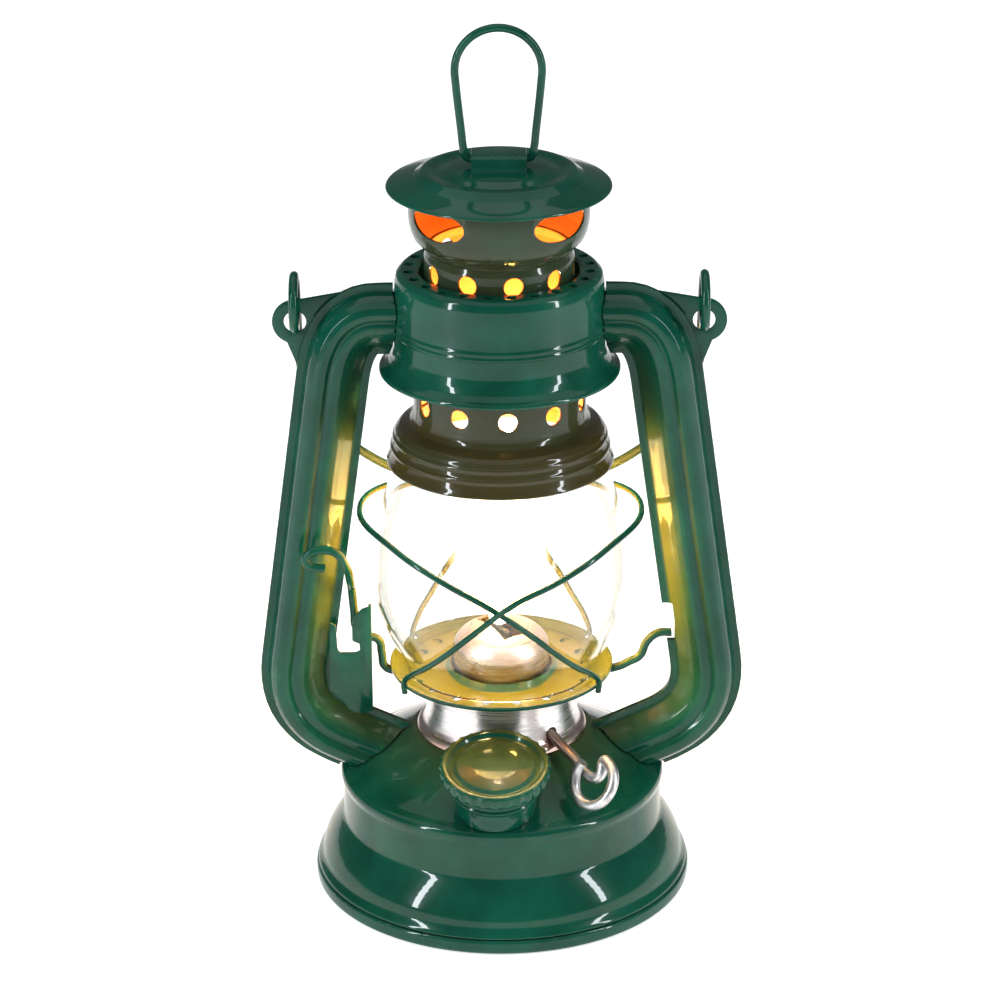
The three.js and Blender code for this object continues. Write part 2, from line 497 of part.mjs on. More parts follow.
// ---- Chimney: the part that rises with the hanging ring ----
function makeChimney() {
  const stepOuter = CAP_RIM_R - 3.6;
  const skirtFoot = CAP_STEP_Z - CAP_SKIRT;
  addPiece('globe_cap', enamel, cutAll(turnedSheet([
    [CAP_RIM_R, skirtFoot], [CAP_RIM_R - 0.7, skirtFoot + 2], [CAP_RIM_R - 2.1, skirtFoot + 6.4],
    [stepOuter + 1.3, skirtFoot + 7.8], [stepOuter + 1.1, skirtFoot + 9.6],
    [stepOuter - 0.6, CAP_STEP_Z], [CAP_DRUM_R + 1.2, CAP_STEP_Z + 0.8], [CAP_DRUM_R, CAP_STEP_Z + 2.4],
    [CAP_DRUM_R, CAP_TOP_Z - 1], [CAP_DRUM_R - 1, CAP_TOP_Z], [CHIMNEY_R - 2.4, CAP_TOP_Z],
  ], 22), radialCutters(evenly(11, 0.09), VENT_R, CAP_STEP_Z + 9.4, CAP_DRUM_R)));
  addPiece('chimney_tube', enamel, cutAll(turnedSheet([
    [CHIMNEY_R + SLIDE_GAP, CAP_TOP_Z + GAP + SHEET], [CHIMNEY_R, CAP_TOP_Z + GAP + 2 * SHEET + 0.6],
    [CHIMNEY_R, CHIMNEY_TOP_Z - 1.2], [CHIMNEY_R - 0.6, CHIMNEY_TOP_Z],
  ], 20), radialCutters(evenly(10, 0.19), VENT_R, CHIMNEY_TOP_Z - 4.4, CHIMNEY_R)));
  const bowlFoot = CHIMNEY_TOP_Z + GAP;
  const ovals = radialCutters([1, 3, 5, 7].map((i) => i * PI / 4), OVAL_HEIGHT / 2, BOWL_TOP_Z - 7.4, BOWL_R,
    OVAL_WIDTH / OVAL_HEIGHT, 16);
  addPiece('chimney_bowl', enamel, cutAll(turnedSheet([
    [CHIMNEY_R - 0.6, bowlFoot], [CHIMNEY_R + 0.3, bowlFoot + 1.6], [CHIMNEY_R + 2.8, bowlFoot + 4.6],
    [BOWL_R - 0.3, bowlFoot + 8.6], [BOWL_R, bowlFoot + 11], [BOWL_R, BOWL_TOP_Z],
  ]), ovals));
}

function makeHood() {
  const strapLeg = BRIDGE_SPAN / 2;
  const slots = [-1, 1].map((side) => block(BRIDGE_WIDTH + 2 * GAP, SHEET + 2 * GAP, 6,
    [0, side * (strapLeg - SHEET / 2), HOOD_TOP_Z - 1]));
  addPiece('hood', enamel, cutAll(turnedSheet([
    [HOOD_R - 0.4, HOOD_RIM_Z - 0.6], [HOOD_R, HOOD_RIM_Z], [HOOD_R - 0.8, HOOD_RIM_Z + 0.7],
    [HOOD_R - 8.6, HOOD_RIM_Z + 3.2], [HOOD_R - 11, HOOD_RIM_Z + 4.8], [HOOD_R - 12.8, HOOD_RIM_Z + 4.8],
    [HOOD_R - 15, HOOD_RIM_Z + 4.1], [HOOD_R - 18, HOOD_RIM_Z + 5.2], [HOOD_R - 24, HOOD_TOP_Z - 0.2],
    [0, HOOD_TOP_Z],
  ]), slots));

  const strapTop = RING_BAR_Z + RING_WIRE_R + GAP;
  const foot = HOOD_TOP_Z - 1.9;
  const half = [[strapLeg + 2, foot - SHEET], [strapLeg, foot - SHEET], [strapLeg, strapTop + 0.2],
    [strapLeg - 1, strapTop + SHEET]];
  const strap = new THREE.Shape(sheetOutline([...half, ...half.map(([y, z]) => [-y, z]).reverse()])
    .map(([y, z]) => new THREE.Vector2(y, z)));
  const bridge = new THREE.ExtrudeGeometry(strap, { depth: BRIDGE_WIDTH, bevelEnabled: false })
    .translate(0, 0, -BRIDGE_WIDTH / 2).rotateZ(PI / 2).rotateY(PI / 2);
  addPiece('hood_bridge', enamel, solid(bridge));
}

function makeHangingRing() {
  const bar = BRIDGE_WIDTH / 2 + 0.6;
  const eye = RING_BAR_Z + RING_HEIGHT;
  const half = [
    [0.4, 0, RING_BAR_Z], [bar - 0.9, 0, RING_BAR_Z], [bar + 1.0, 0, RING_BAR_Z + 0.9],
    [bar + 1.7, 0, RING_BAR_Z + 3.4], [bar + 2.2, 0, RING_BAR_Z + 8], [RING_EYE_R - 0.6, 0, eye - 8],
    ...arcPoints(5, -0.1 * PI, 0.4 * PI, (a) => [RING_EYE_R * cos(a), 0, eye + RING_EYE_R * sin(a)]),
  ];
  const top = [0, 0, eye + RING_EYE_R];
  addPiece('hanging_ring', enamel, wire([...half, top, ...half.map(([x, y, z]) => [-x, y, z]).reverse()],
    RING_WIRE_R, 34, 6));
}

// ---- Frame: drum, air tubes, bracket ----
const DRUM_FOOT_Z = DRUM_TOP_Z - DRUM_HEIGHT;
const drumLine = [
  [DRUM_RIM_R - 0.6, DRUM_FOOT_Z - 0.6], [DRUM_RIM_R, DRUM_FOOT_Z + 0.2],
  [DRUM_RIM_R - 0.4, DRUM_FOOT_Z + 0.9],
  [DRUM_R + 2.6, DRUM_FOOT_Z + 2.2], [DRUM_R + 1.0, DRUM_FOOT_Z + 4.2], [DRUM_R, DRUM_FOOT_Z + 7],
  [DRUM_R + 0.4, DRUM_FOOT_Z + 14.2], [DRUM_R - 0.4, DRUM_TOP_Z - 2.6], [DRUM_R - 2.0, DRUM_TOP_Z],
  [CHIMNEY_R + SLIDE_GAP + 0.5, DRUM_TOP_Z],
];

function makeDrum() {
  const holes = ringCutters(24, 1.5, (CHIMNEY_R + DRUM_R) / 2, DRUM_TOP_Z, 5);
  const ports = [-1, 1].map((side) => block(8, 2 * TUBE_DEPTH - 4, TUBE_WIDTH - 7,
    [side * DRUM_R, 0, TUBE_TOP_Z]));
  addPiece('collar_drum', enamel, cutAll(turnedSheet(drumLine, 24), [...holes, ...ports]));
}

// The right tube's centre line in the XZ plane, from the drum down to the tank.
const tubeLean = (TUBE_FOOT_REACH - TUBE_TOP_REACH) / (TUBE_TOP_Z - SHOULDER_Z - TUBE_FOOT_RISE);
const leanX = (z) => TUBE_TOP_REACH + (TUBE_TOP_Z - z) * tubeLean;
const flat = (x, z) => new THREE.Vector3(x, 0, z);
function tubeRoute() {
  const topBend = 18;
  const footBend = 17;
  const footZ = SHOULDER_Z + TUBE_FOOT_RISE;
  const inward = (d) => flat(TUBE_FOOT_REACH - d * cos(TUBE_FOOT_SLOPE), footZ - d * sin(TUBE_FOOT_SLOPE));
  const footRun = (TUBE_FOOT_REACH - AIR_COLLAR_R - 1.2) / cos(TUBE_FOOT_SLOPE);
  const route = new THREE.CurvePath();
  route.add(new THREE.LineCurve3(flat(DRUM_R - 4, TUBE_TOP_Z), flat(TUBE_TOP_REACH - 11, TUBE_TOP_Z)));
  route.add(new THREE.QuadraticBezierCurve3(flat(TUBE_TOP_REACH - 11, TUBE_TOP_Z),
    flat(TUBE_TOP_REACH, TUBE_TOP_Z),
    flat(leanX(TUBE_TOP_Z - topBend), TUBE_TOP_Z - topBend)));
  route.add(new THREE.LineCurve3(flat(leanX(TUBE_TOP_Z - topBend), TUBE_TOP_Z - topBend),
    flat(leanX(footZ + footBend), footZ + footBend)));
  route.add(new THREE.QuadraticBezierCurve3(flat(leanX(footZ + footBend), footZ + footBend),
    flat(TUBE_FOOT_REACH, footZ), inward(footBend)));
  route.add(new THREE.LineCurve3(inward(footBend), inward(footRun)));
  return route;
}
const route = tubeRoute();
const tubeEdgeAt = (z) => leanX(z) - TUBE_WIDTH / 2 / cos(Math.atan(tubeLean));

// Bends a straight bar, which runs from z = 0 to 1, along the tube's centre line. x is outward, y is to
// the front.
function bendAlong(geometry) {
  const places = geometry.getAttribute('position');
  for (let i = 0; i < places.count; i++) {
    const share = places.getZ(i);
    const point = route.getPointAt(share);
    const aim = route.getTangentAt(share);
    const out = places.getX(i);
    places.setXYZ(i, point.x - aim.z * out, -places.getY(i), point.z + aim.x * out);
  }
  return geometry;
}

function tubeHalfSection() {
  const outer = TUBE_WIDTH / 2;
  const seam = GAP / 2;
  const archOut = outer - OUTER_FLANGE;
  const archIn = -outer + INNER_FLANGE;
  const middle = (archOut + archIn) / 2;
  const half = (archOut - archIn) / 2;
  const arch = arcPoints(6, -1, 1, (s) => {
    const bulge = (1 - Math.abs(s) ** 2.6) ** 0.5;
    return [middle + half * s, seam + SHEET + (TUBE_DEPTH - SHEET - seam) * bulge];
  });
  return new THREE.Shape(sheetOutline([[-outer, seam + SHEET], ...arch, [outer, seam + SHEET]].reverse())
    .map(([x, y]) => new THREE.Vector2(x, y)));
}

function earPlate() {
  const seam = GAP / 2;
  const edge = (share, inset) => {
    const point = route.getPointAt(share);
    const aim = route.getTangentAt(share);
    const out = TUBE_WIDTH / 2 - inset;
    return [point.x - aim.z * out, point.z + aim.x * out];
  };
  const round = arcPoints(12, -0.38 * PI, 0.52 * PI, (a) => [EAR_REACH + EAR_R * cos(a),
    EAR_Z + EAR_R * sin(a)]);
  const root = arcPoints(6, 0.085, 0.165, (share) => edge(share, OUTER_FLANGE - 0.3));
  const outline = [...root, edge(0.168, 0.1), ...round, edge(0.08, 0.1)];
  const shape = new THREE.Shape(outline.map(([x, z]) => new THREE.Vector2(x, z)));
  shape.holes.push(new THREE.Path(evenly(16).map((a) => new THREE.Vector2(EAR_REACH + EAR_HOLE_R * cos(a),
    EAR_Z + EAR_HOLE_R * sin(a)))));
  return solid(new THREE.ExtrudeGeometry(shape, { depth: SHEET, bevelEnabled: false }).rotateX(PI / 2)
    .translate(0, SHEET + seam, 0));
}

function makeTubes() {
  const drumEnvelope = turned([[0, DRUM_FOOT_Z - 2], ...drumLine.slice(0, -1).map(([r, z]) => [r + GAP, z]),
    [DRUM_R, DRUM_TOP_Z + 20], [0, DRUM_TOP_Z + 20]], 88);
  const innerReach = upright(AIR_COLLAR_R + AIR_COLLAR_FLANGE + 1.4, 0, COLLAR_TOP_Z, 48);
  const wireZ = LIFT_WIRE_Z + 12.4;
  const wireSlot = block(9, 2 * LIFT_WIRE_R + 1, GLOBE_LIFT + 2 * LIFT_WIRE_R + 1.4,
    [tubeEdgeAt(wireZ) + 2.6, 0, wireZ + GLOBE_LIFT / 2]);
  const straight = new THREE.ExtrudeGeometry(tubeHalfSection(), { depth: 1, steps: 17, bevelEnabled: false });
  const half = solid(bendAlong(straight));
  const trimmed = cutAll(half, [drumEnvelope, tankEnvelope(), innerReach]);
  const backHalf = trimmed.mirror([0, 1, 0]).add(earPlate());
  const sides = { right: (body) => body, left: (body) => body.mirror([1, 0, 0]) };
  for (const [side, turnSide] of Object.entries(sides)) {
    const tools = side === 'right' ? [wireSlot] : [];
    addPiece(`${side}_tube_front`, enamel, cutAll(turnSide(trimmed), tools));
    addPiece(`${side}_tube_back`, enamel, cutAll(turnSide(backHalf), tools));
  }
}

function makeBracket() {
  const y = -4.4;
  const edge = -tubeEdgeAt(LIFT_WIRE_Z + 12.4);
  const x = (right) => edge + right;
  const z = (rise) => LIFT_WIRE_Z + rise;
  const outline = new THREE.Shape([
    [x(-1.8), z(18)], [x(0), z(17.2)], [x(0.4), z(9.6)], [x(1.4), z(8)], [x(5.8), z(8)], [x(7.2), z(9)],
    [x(7.0), z(11)], [x(5.6), z(11.6)], [x(4.9), z(11.8)], [x(4.9), z(17.6)], [x(6), z(20.4)],
    [x(8), z(22.4)],
    [x(10.8), z(23.4)], [x(10.8), z(-11.6)], [x(6), z(-12.2)], [x(3.6), z(-11)], [x(1.6), z(-7.6)],
    [x(-0.4), z(-5.2)], [x(-2.2), z(-4.6)],
  ].map(([px, pz]) => new THREE.Vector2(px, pz)));
  const plate = solid(new THREE.ExtrudeGeometry(outline, { depth: 1, bevelEnabled: false }).rotateX(PI / 2)
    .translate(0, y + 1, 0));
  const returnEdge = block(0.9, 2.2, 35, [x(10.8) - 0.45, y + 1.1, z(5.9)]);
  addPiece('lift_bracket', enamel, plate.add(returnEdge));
}

// ---- Bail ----
function makeBail() {
  // Each arm passes through its ear, rounds it and hangs behind the tubes.
  const eyeZ = EAR_Z - EAR_HOLE_R + 0.25 + BAIL_WIRE_R + BAIL_EYE_R;
  const arm = (reach, down) => [reach, BAIL_EYE_R * cos(BAIL_LEAN) + down * sin(BAIL_LEAN),
    eyeZ + BAIL_EYE_R * sin(BAIL_LEAN) - down * cos(BAIL_LEAN)];
  const eye = arcPoints(12, 1.72 * PI + BAIL_LEAN, BAIL_LEAN, (a) => [BAIL_ARC_R, BAIL_EYE_R * cos(a),
    eyeZ + BAIL_EYE_R * sin(a)]);
  const right = [...eye, arm(BAIL_ARC_R, 5), arm(BAIL_ARC_R, BAIL_DROP * 0.75)];
  const bow = arcPoints(12, 0.06, PI - 0.06, (a) => arm(BAIL_ARC_R * cos(a),
    BAIL_DROP + BAIL_ARC_R * sin(a)));
  const left = right.map(([x, y, z]) => [-x, y, z]).reverse();
  addPiece('bail', enamel, wire([...right, ...bow, ...left], BAIL_WIRE_R, 64, 6));
}

makeTank();
makeFiller();
makeBurner();
makeWickKnob();
makePlate();
makeGlobe();
makeGuards();
makeLiftWire();
makeChimney();
makeHood();
makeHangingRing();
makeDrum();
makeTubes();
makeBracket();
makeBail();

export default lamp;
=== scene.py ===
# %% [markdown]
# A small hurricane lamp, lit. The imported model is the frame: it fixes every size and how the pieces move.
# This file dresses it. Most pieces on the real lamp are pressed tinplate, so most of the modelling is
# one idea repeated: draw half of a pressing's section, spin it, and give the skin a wall.
# Numbers are millimetres in the sections and are turned to metres in one place.

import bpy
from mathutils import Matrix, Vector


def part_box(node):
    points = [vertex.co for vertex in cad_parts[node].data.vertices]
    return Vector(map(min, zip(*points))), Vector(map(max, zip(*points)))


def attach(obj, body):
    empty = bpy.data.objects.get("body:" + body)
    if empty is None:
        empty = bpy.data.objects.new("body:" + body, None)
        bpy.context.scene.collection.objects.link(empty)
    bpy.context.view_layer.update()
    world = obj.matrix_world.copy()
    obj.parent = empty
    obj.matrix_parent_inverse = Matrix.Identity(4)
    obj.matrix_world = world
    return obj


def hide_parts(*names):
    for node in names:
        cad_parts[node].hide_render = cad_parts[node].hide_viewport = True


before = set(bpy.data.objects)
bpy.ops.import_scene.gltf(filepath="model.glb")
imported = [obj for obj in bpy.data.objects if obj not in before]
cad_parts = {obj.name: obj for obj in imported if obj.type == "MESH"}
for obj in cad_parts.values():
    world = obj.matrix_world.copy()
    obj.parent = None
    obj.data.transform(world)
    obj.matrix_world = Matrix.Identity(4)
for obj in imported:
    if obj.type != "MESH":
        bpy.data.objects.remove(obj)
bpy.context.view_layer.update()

import math
import random

import bmesh
import bpy
from mathutils import Matrix, Vector
from mathutils.geometry import interpolate_bezier

# %% [markdown]
# The camera comes first, so that every later step can be judged from the same place. It stands a metre
# in front of the lamp and half a metre up, with a long lens, which keeps the tubes almost parallel.

# %% Camera
MM = 0.001
CAMERA_PLACE = (0, -1.060, 0.5644)
CAMERA_PITCH = 22.63
CAMERA_ROLL = -0.3
LENS = 138.2

camera = bpy.data.objects.new("camera", bpy.data.cameras.new("camera"))
bpy.context.scene.collection.objects.link(camera)
camera.location = CAMERA_PLACE
camera.rotation_euler = (math.radians(90 - CAMERA_PITCH), 0, 0)
camera.rotation_euler.rotate_axis("Z", math.radians(CAMERA_ROLL))
camera.data.lens = LENS
camera.data.sensor_width = 36
camera.data.clip_start = 0.05
camera.data.clip_end = 30
bpy.context.scene.camera = camera
print("camera looks down by", CAMERA_PITCH, "degrees")

# %% [markdown]
# Patterns that several finishes share are node groups with named inputs and outputs. A small helper
# opens a group, and another drops it into a material. Everything reads Object coordinates, because each
# piece keeps its place in its mesh: the pattern then stays on the metal when the piece moves.

# %% Node helpers
def new_group(name, inputs, outputs):
    """Opens a shader node group. inputs are (name, kind, default), outputs are (name, kind)."""
    group = bpy.data.node_groups.new(name, "ShaderNodeTree")
    for label, kind, default in inputs:
        socket = group.interface.new_socket(label, in_out="INPUT", socket_type="NodeSocket" + kind)
        socket.default_value = default
    for label, kind in outputs:
        group.interface.new_socket(label, in_out="OUTPUT", socket_type="NodeSocket" + kind)
    start = group.nodes.new("NodeGroupInput")
    end = group.nodes.new("NodeGroupOutput")
    return group, start, end


def node(tree, kind, links=None, **settings):
    """A node with its settings, and with sockets linked or set by their names or numbers."""
    made = tree.nodes.new("ShaderNode" + kind)
    for key, value in settings.items():
        setattr(made, key, value)
    for socket, value in (links or {}).items():
        if isinstance(value, bpy.types.NodeSocket):
            tree.links.new(value, made.inputs[socket])
        else:
            made.inputs[socket].default_value = value
    return made


def maths(tree, operation, a, b=0.0, c=0.0, clamp=False):
    return node(tree, "Math", {0: a, 1: b, 2: c}, operation=operation, use_clamp=clamp).outputs[0]


def mixed(tree, share, a, b):
    """One colour faded into another. Inputs 6 and 7 of a Mix node are its two colours."""
    return node(tree, "Mix", {0: share, 6: a, 7: b}, data_type="RGBA").outputs[2]


def between(tree, value, low, high, to_low=0.0, to_high=1.0):
    """Maps a value from one range to another, and holds it there."""
    return node(tree, "MapRange", {0: value, 1: low, 2: high, 3: to_low, 4: to_high}).outputs[0]


print("node helpers ready")

# %% [markdown]
# Dipped or sprayed enamel is never quite flat. It has a fine orange peel, long soft sags where it ran,
# and small specks under the gloss. This group gives a height for all three, and a mask of specks.

# %% Paint flow group
paint_flow, flow_in, flow_out = new_group(
    "paint_flow",
    [("Vector", "Vector", (0, 0, 0)), ("Peel Size", "Float", 900.0), ("Sag Size", "Float", 60.0)],
    [("Height", "Float"), ("Specks", "Float"), ("Cloud", "Float")],
)
peel = node(paint_flow, "TexNoise", {"Vector": flow_in.outputs[0], "Scale": flow_in.outputs[1],
                                     "Detail": 2.0})
sag = node(paint_flow, "TexNoise", {"Vector": flow_in.outputs[0], "Scale": flow_in.outputs[2],
                                    "Detail": 3.0})
speck = node(paint_flow, "TexVoronoi", {"Vector": flow_in.outputs[0], "Scale": 420.0})
chance = node(paint_flow, "TexNoise", {"Vector": flow_in.outputs[0], "Scale": 130.0, "Detail": 1.0})
speck_near = between(paint_flow, speck.outputs["Distance"], 0.06, 0.16, 1.0, 0.0)
speck_here = between(paint_flow, chance.outputs[0], 0.64, 0.68)
specks = maths(paint_flow, "MULTIPLY", speck_near, speck_here)
PEEL_SHARE, SPECK_SHARE = 0.10, 0.35
height = maths(paint_flow, "MULTIPLY_ADD", peel.outputs[0], PEEL_SHARE, sag.outputs[0])
height = maths(paint_flow, "MULTIPLY_ADD", specks, SPECK_SHARE, height)
for i, socket in enumerate((height, specks, sag.outputs[0])):
    paint_flow.links.new(socket, flow_out.inputs[i])
print("paint_flow:", len(paint_flow.nodes), "nodes")

# %% [markdown]
# Wear and thin paint gather on sharp edges, and the colour is made darker in concave corners. Pointiness
# tells both apart on a mesh with enough vertices. The group breaks the two masks up with noise, so no edge
# is even.

# %% Edge and corner group
edge_wear, wear_in, wear_out = new_group(
    "edge_wear",
    [("Vector", "Vector", (0, 0, 0)), ("Edge From", "Float", 0.53), ("Edge To", "Float", 0.62),
     ("Breakup Size", "Float", 260.0)],
    [("Edges", "Float"), ("Corners", "Float")],
)
sharpness = node(edge_wear, "NewGeometry").outputs["Pointiness"]
breakup = node(edge_wear, "TexNoise", {"Vector": wear_in.outputs[0], "Scale": wear_in.outputs[3],
                                       "Detail": 4.0})
rim = between(edge_wear, sharpness, wear_in.outputs[1], wear_in.outputs[2])
patchy = between(edge_wear, breakup.outputs[0], 0.42, 0.62)
corner = between(edge_wear, sharpness, 0.48, 0.40)
edge_wear.links.new(maths(edge_wear, "MULTIPLY", rim, patchy), wear_out.inputs[0])
edge_wear.links.new(maths(edge_wear, "MULTIPLY", corner, breakup.outputs[0]), wear_out.inputs[1])
print("edge_wear:", len(edge_wear.nodes), "nodes")

# %% [markdown]
# Soot, heat marks and the flame's painted glow belong to places on the lamp, not to edges: they change
# with height up the chimney and round the burner. This group gives the height as a share, the distance from
# the lamp's axis, and coordinates that run round the lamp, for marks that follow a turned surface.

# %% Place group
place_on_lamp, place_in, place_out = new_group(
    "place_on_lamp",
    [("Vector", "Vector", (0, 0, 0)), ("Low", "Float", 0.14), ("High", "Float", 0.23)],
    [("Rise", "Float"), ("Radius", "Float"), ("Round", "Vector")],
)
ROUND_SCALE = 0.003
x, y, z = node(place_on_lamp, "SeparateXYZ", {0: place_in.outputs[0]}).outputs
squares = maths(place_on_lamp, "MULTIPLY_ADD", x, x, maths(place_on_lamp, "MULTIPLY", y, y))
radius = maths(place_on_lamp, "SQRT", squares)
turned = maths(place_on_lamp, "MULTIPLY", maths(place_on_lamp, "ARCTAN2", y, x), ROUND_SCALE)
rise = between(place_on_lamp, z, place_in.outputs[1], place_in.outputs[2])
around = node(place_on_lamp, "CombineXYZ", {0: turned, 1: radius, 2: z})
for i, socket in enumerate((rise, radius, around.outputs[0])):
    place_on_lamp.links.new(socket, place_out.inputs[i])
print("place_on_lamp:", len(place_on_lamp.nodes), "nodes")

# %% [markdown]
# Where the enamel faces the flame from close by, it looks golden. A renderer doesn't find that from the
# green alone, so the flame's light is painted in: a painted glow and reflection of the flame, in gold. This
# group measures how near a point is to the flame and how squarely it faces it. A second mask marks the faces
# that look in at the lamp's axis.

# %% Flame side group
FLAME_AT = (0.0, 0.0, 0.105)
FULL_FLAME_LIGHT_WITHIN = 0.035
flame_side, side_in, side_out = new_group(
    "flame_side",
    [("Vector", "Vector", (0, 0, 0)), ("Normal", "Vector", (0, 0, 1)), ("Far", "Float", 0.07)],
    [("Mask", "Float"), ("Inner", "Float")],
)
point, normal, far = side_in.outputs[:3]


def vectors(operation, a, b=(0, 0, 0), answer="Vector"):
    return node(flame_side, "VectorMath", {0: a, 1: b}, operation=operation).outputs[answer]


# Painted flame light: a share that is full close to the flame and facing it, for the gold in the enamel's
# colour.
away = vectors("SUBTRACT", point, FLAME_AT)
near = between(flame_side, vectors("LENGTH", away, answer="Value"), FULL_FLAME_LIGHT_WITHIN, far, 1.0, 0.0)
facing = vectors("DOT_PRODUCT", normal, vectors("NORMALIZE", away), "Value")
flame_light_share = maths(flame_side, "MULTIPLY", between(flame_side, facing, -0.15, -0.75), near)
outward = vectors("NORMALIZE", vectors("MULTIPLY", point, (1, 1, 0)))
inner = between(flame_side, vectors("DOT_PRODUCT", normal, outward, "Value"), -0.3, -0.6)
for i, socket in enumerate((flame_light_share, inner)):
    flame_side.links.new(socket, side_out.inputs[i])
print("flame_side:", len(flame_side.nodes), "nodes")

# %% [markdown]
# A finish starts from one Principled shader with its plain values on its own sockets. The groups then
# feed only what changes over the surface.

# %% Material starter
def new_finish(name, colour, roughness, metallic=0.0, **plain):
    """Starts a material. Returns it with its tree, its Principled shader and Object coordinates."""
    material = bpy.data.materials.new(name)
    material.use_nodes = True
    material.diffuse_color = (*colour[:3], 1)
    tree = material.node_tree
    shader = tree.nodes["Principled BSDF"]
    shader.inputs["Base Color"].default_value = (*colour[:3], 1)
    shader.inputs["Roughness"].default_value = roughness
    shader.inputs["Metallic"].default_value = metallic
    for key, value in plain.items():
        shader.inputs[key.replace("_", " ")].default_value = value
    return material, tree, shader, node(tree, "TexCoord").outputs["Object"]


def use_group(tree, group, **values):
    named = {key.replace("_", " "): value for key, value in values.items()}
    return node(tree, "Group", named, node_tree=group)


def bump(tree, shader, height, strength, distance):
    made = node(tree, "Bump", {"Height": height, "Strength": strength, "Distance": distance})
    tree.links.new(made.outputs[0], shader.inputs["Normal"])


print("material starter ready")

# %% [markdown]
# The enamel: a deep bottle green under a clear gloss. Its colour clouds a little, thins to a yellower
# green on sharp edges, and darkens in corners. Where it faces the flame from close by, the flame's light is
# painted in as gold. The coat carries the crisp reflections. On the chimney pieces the outside turns a warm
# brown low down, partly smoke staining and partly painted glow of the flame, and the inside is a bright
# orange, heat-browned metal brightened by the fire's glow painted in. Wires need other edge limits, because
# all of a thin wire counts as an edge, and the filler's lid takes the painted flame light from further off.

# %% Green enamel
DEEP, LIT = (0.0014, 0.040, 0.023, 1), (0.0028, 0.062, 0.036, 1)
# In the next row the gold is painted flame light, not a colour of the paint.
CORNER_DARK, THIN, FLAME_LIGHT_GOLD = (0.001, 0.012, 0.008, 1), (0.030, 0.110, 0.050, 1), (0.105, 0.083, 0.001, 1)
# Next: a warm brown that is partly smoke staining and partly painted flame glow, and an orange that is
# heat-browned metal brightened by painted fire glow.
SOOT_AND_GLOW_BROWN, HEAT_AND_GLOW_ORANGE = (0.050, 0.026, 0.005, 1), (0.62, 0.19, 0.035, 1)


def make_enamel(name, edge_from=0.53, edge_to=0.62, soot_heat_and_glow=False, far=0.080):
    material, tree, shader, where = new_finish(name, DEEP, 0.22, 0.0, Coat_Weight=0.42, Coat_Roughness=0.03,
                                               Coat_IOR=1.5, Specular_IOR_Level=0.06)
    flow = use_group(tree, paint_flow, Vector=where)
    wear = use_group(tree, edge_wear, Vector=where, Edge_From=edge_from, Edge_To=edge_to)
    colour = mixed(tree, between(tree, flow.outputs["Cloud"], 0.35, 0.65), DEEP, LIT)
    # Darker in concave corners, found by pointiness.
    colour = mixed(tree, maths(tree, "MULTIPLY", wear.outputs["Corners"], 0.7), colour, CORNER_DARK)
    colour = mixed(tree, maths(tree, "MULTIPLY", wear.outputs["Edges"], 0.45), colour, THIN)
    roughness = maths(tree, "MULTIPLY_ADD", flow.outputs["Specks"], 0.25,
                      between(tree, flow.outputs["Cloud"], 0.3, 0.7, 0.18, 0.27))
    side = use_group(tree, flame_side, Vector=where, Normal=node(tree, "TexCoord").outputs["Normal"],
                     Far=far)
    # Painted flame light: the colour turns gold where the enamel faces the flame from close by.
    colour = mixed(tree, maths(tree, "MULTIPLY", side.outputs["Mask"], 0.95), colour, FLAME_LIGHT_GOLD)
    if soot_heat_and_glow:
        # Painted glow with smoke staining: a warm brown low on the chimney pieces, strongest at the cap's
        # skirt and fading upward.
        place = use_group(tree, place_on_lamp, Vector=where, Low=0.136, High=0.176)
        soot_and_glow_noise = node(tree, "TexNoise", {"Vector": place.outputs["Round"], "Scale": 90.0, "Detail": 4.0})
        soot_and_glow_share = maths(tree, "MULTIPLY", between(tree, place.outputs["Rise"], 0.0, 1.0, 0.95, 0.55),
                      between(tree, soot_and_glow_noise.outputs[0], 0.3, 0.7, 0.7, 1.0))
        colour = mixed(tree, soot_and_glow_share, colour, SOOT_AND_GLOW_BROWN)
        # Painted glow with heat browning: faces that look in at the axis turn a bright orange, as if lit by
        # the fire.
        colour = mixed(tree, side.outputs["Inner"], colour, HEAT_AND_GLOW_ORANGE)
        roughness = maths(tree, "MULTIPLY_ADD", side.outputs["Inner"], 0.3, roughness)
    tree.links.new(colour, shader.inputs["Base Color"])
    tree.links.new(roughness, shader.inputs["Roughness"])
    bump(tree, shader, flow.outputs["Height"], 0.35, 0.00035)
    return material


enamel = make_enamel("green_enamel")
# The chimney pieces take the smoke staining, the heat browning and the painted glow.
soot_and_glow_enamel = make_enamel("green_enamel_soot_and_glow", soot_heat_and_glow=True)
wire_enamel = make_enamel("green_enamel_wire", 0.60, 0.75)
# The lid takes the painted flame light from further off.
lid_enamel = make_enamel("green_enamel_lid", far=0.095)
print("enamel finishes:", enamel.name, soot_and_glow_enamel.name, wire_enamel.name, lid_enamel.name)

# %% [markdown]
# The air collar is bare tinplate, drawn and polished by turning, so its scratches run round it. Its foot
# has a warm, coppery tarnish and a few dark specks.

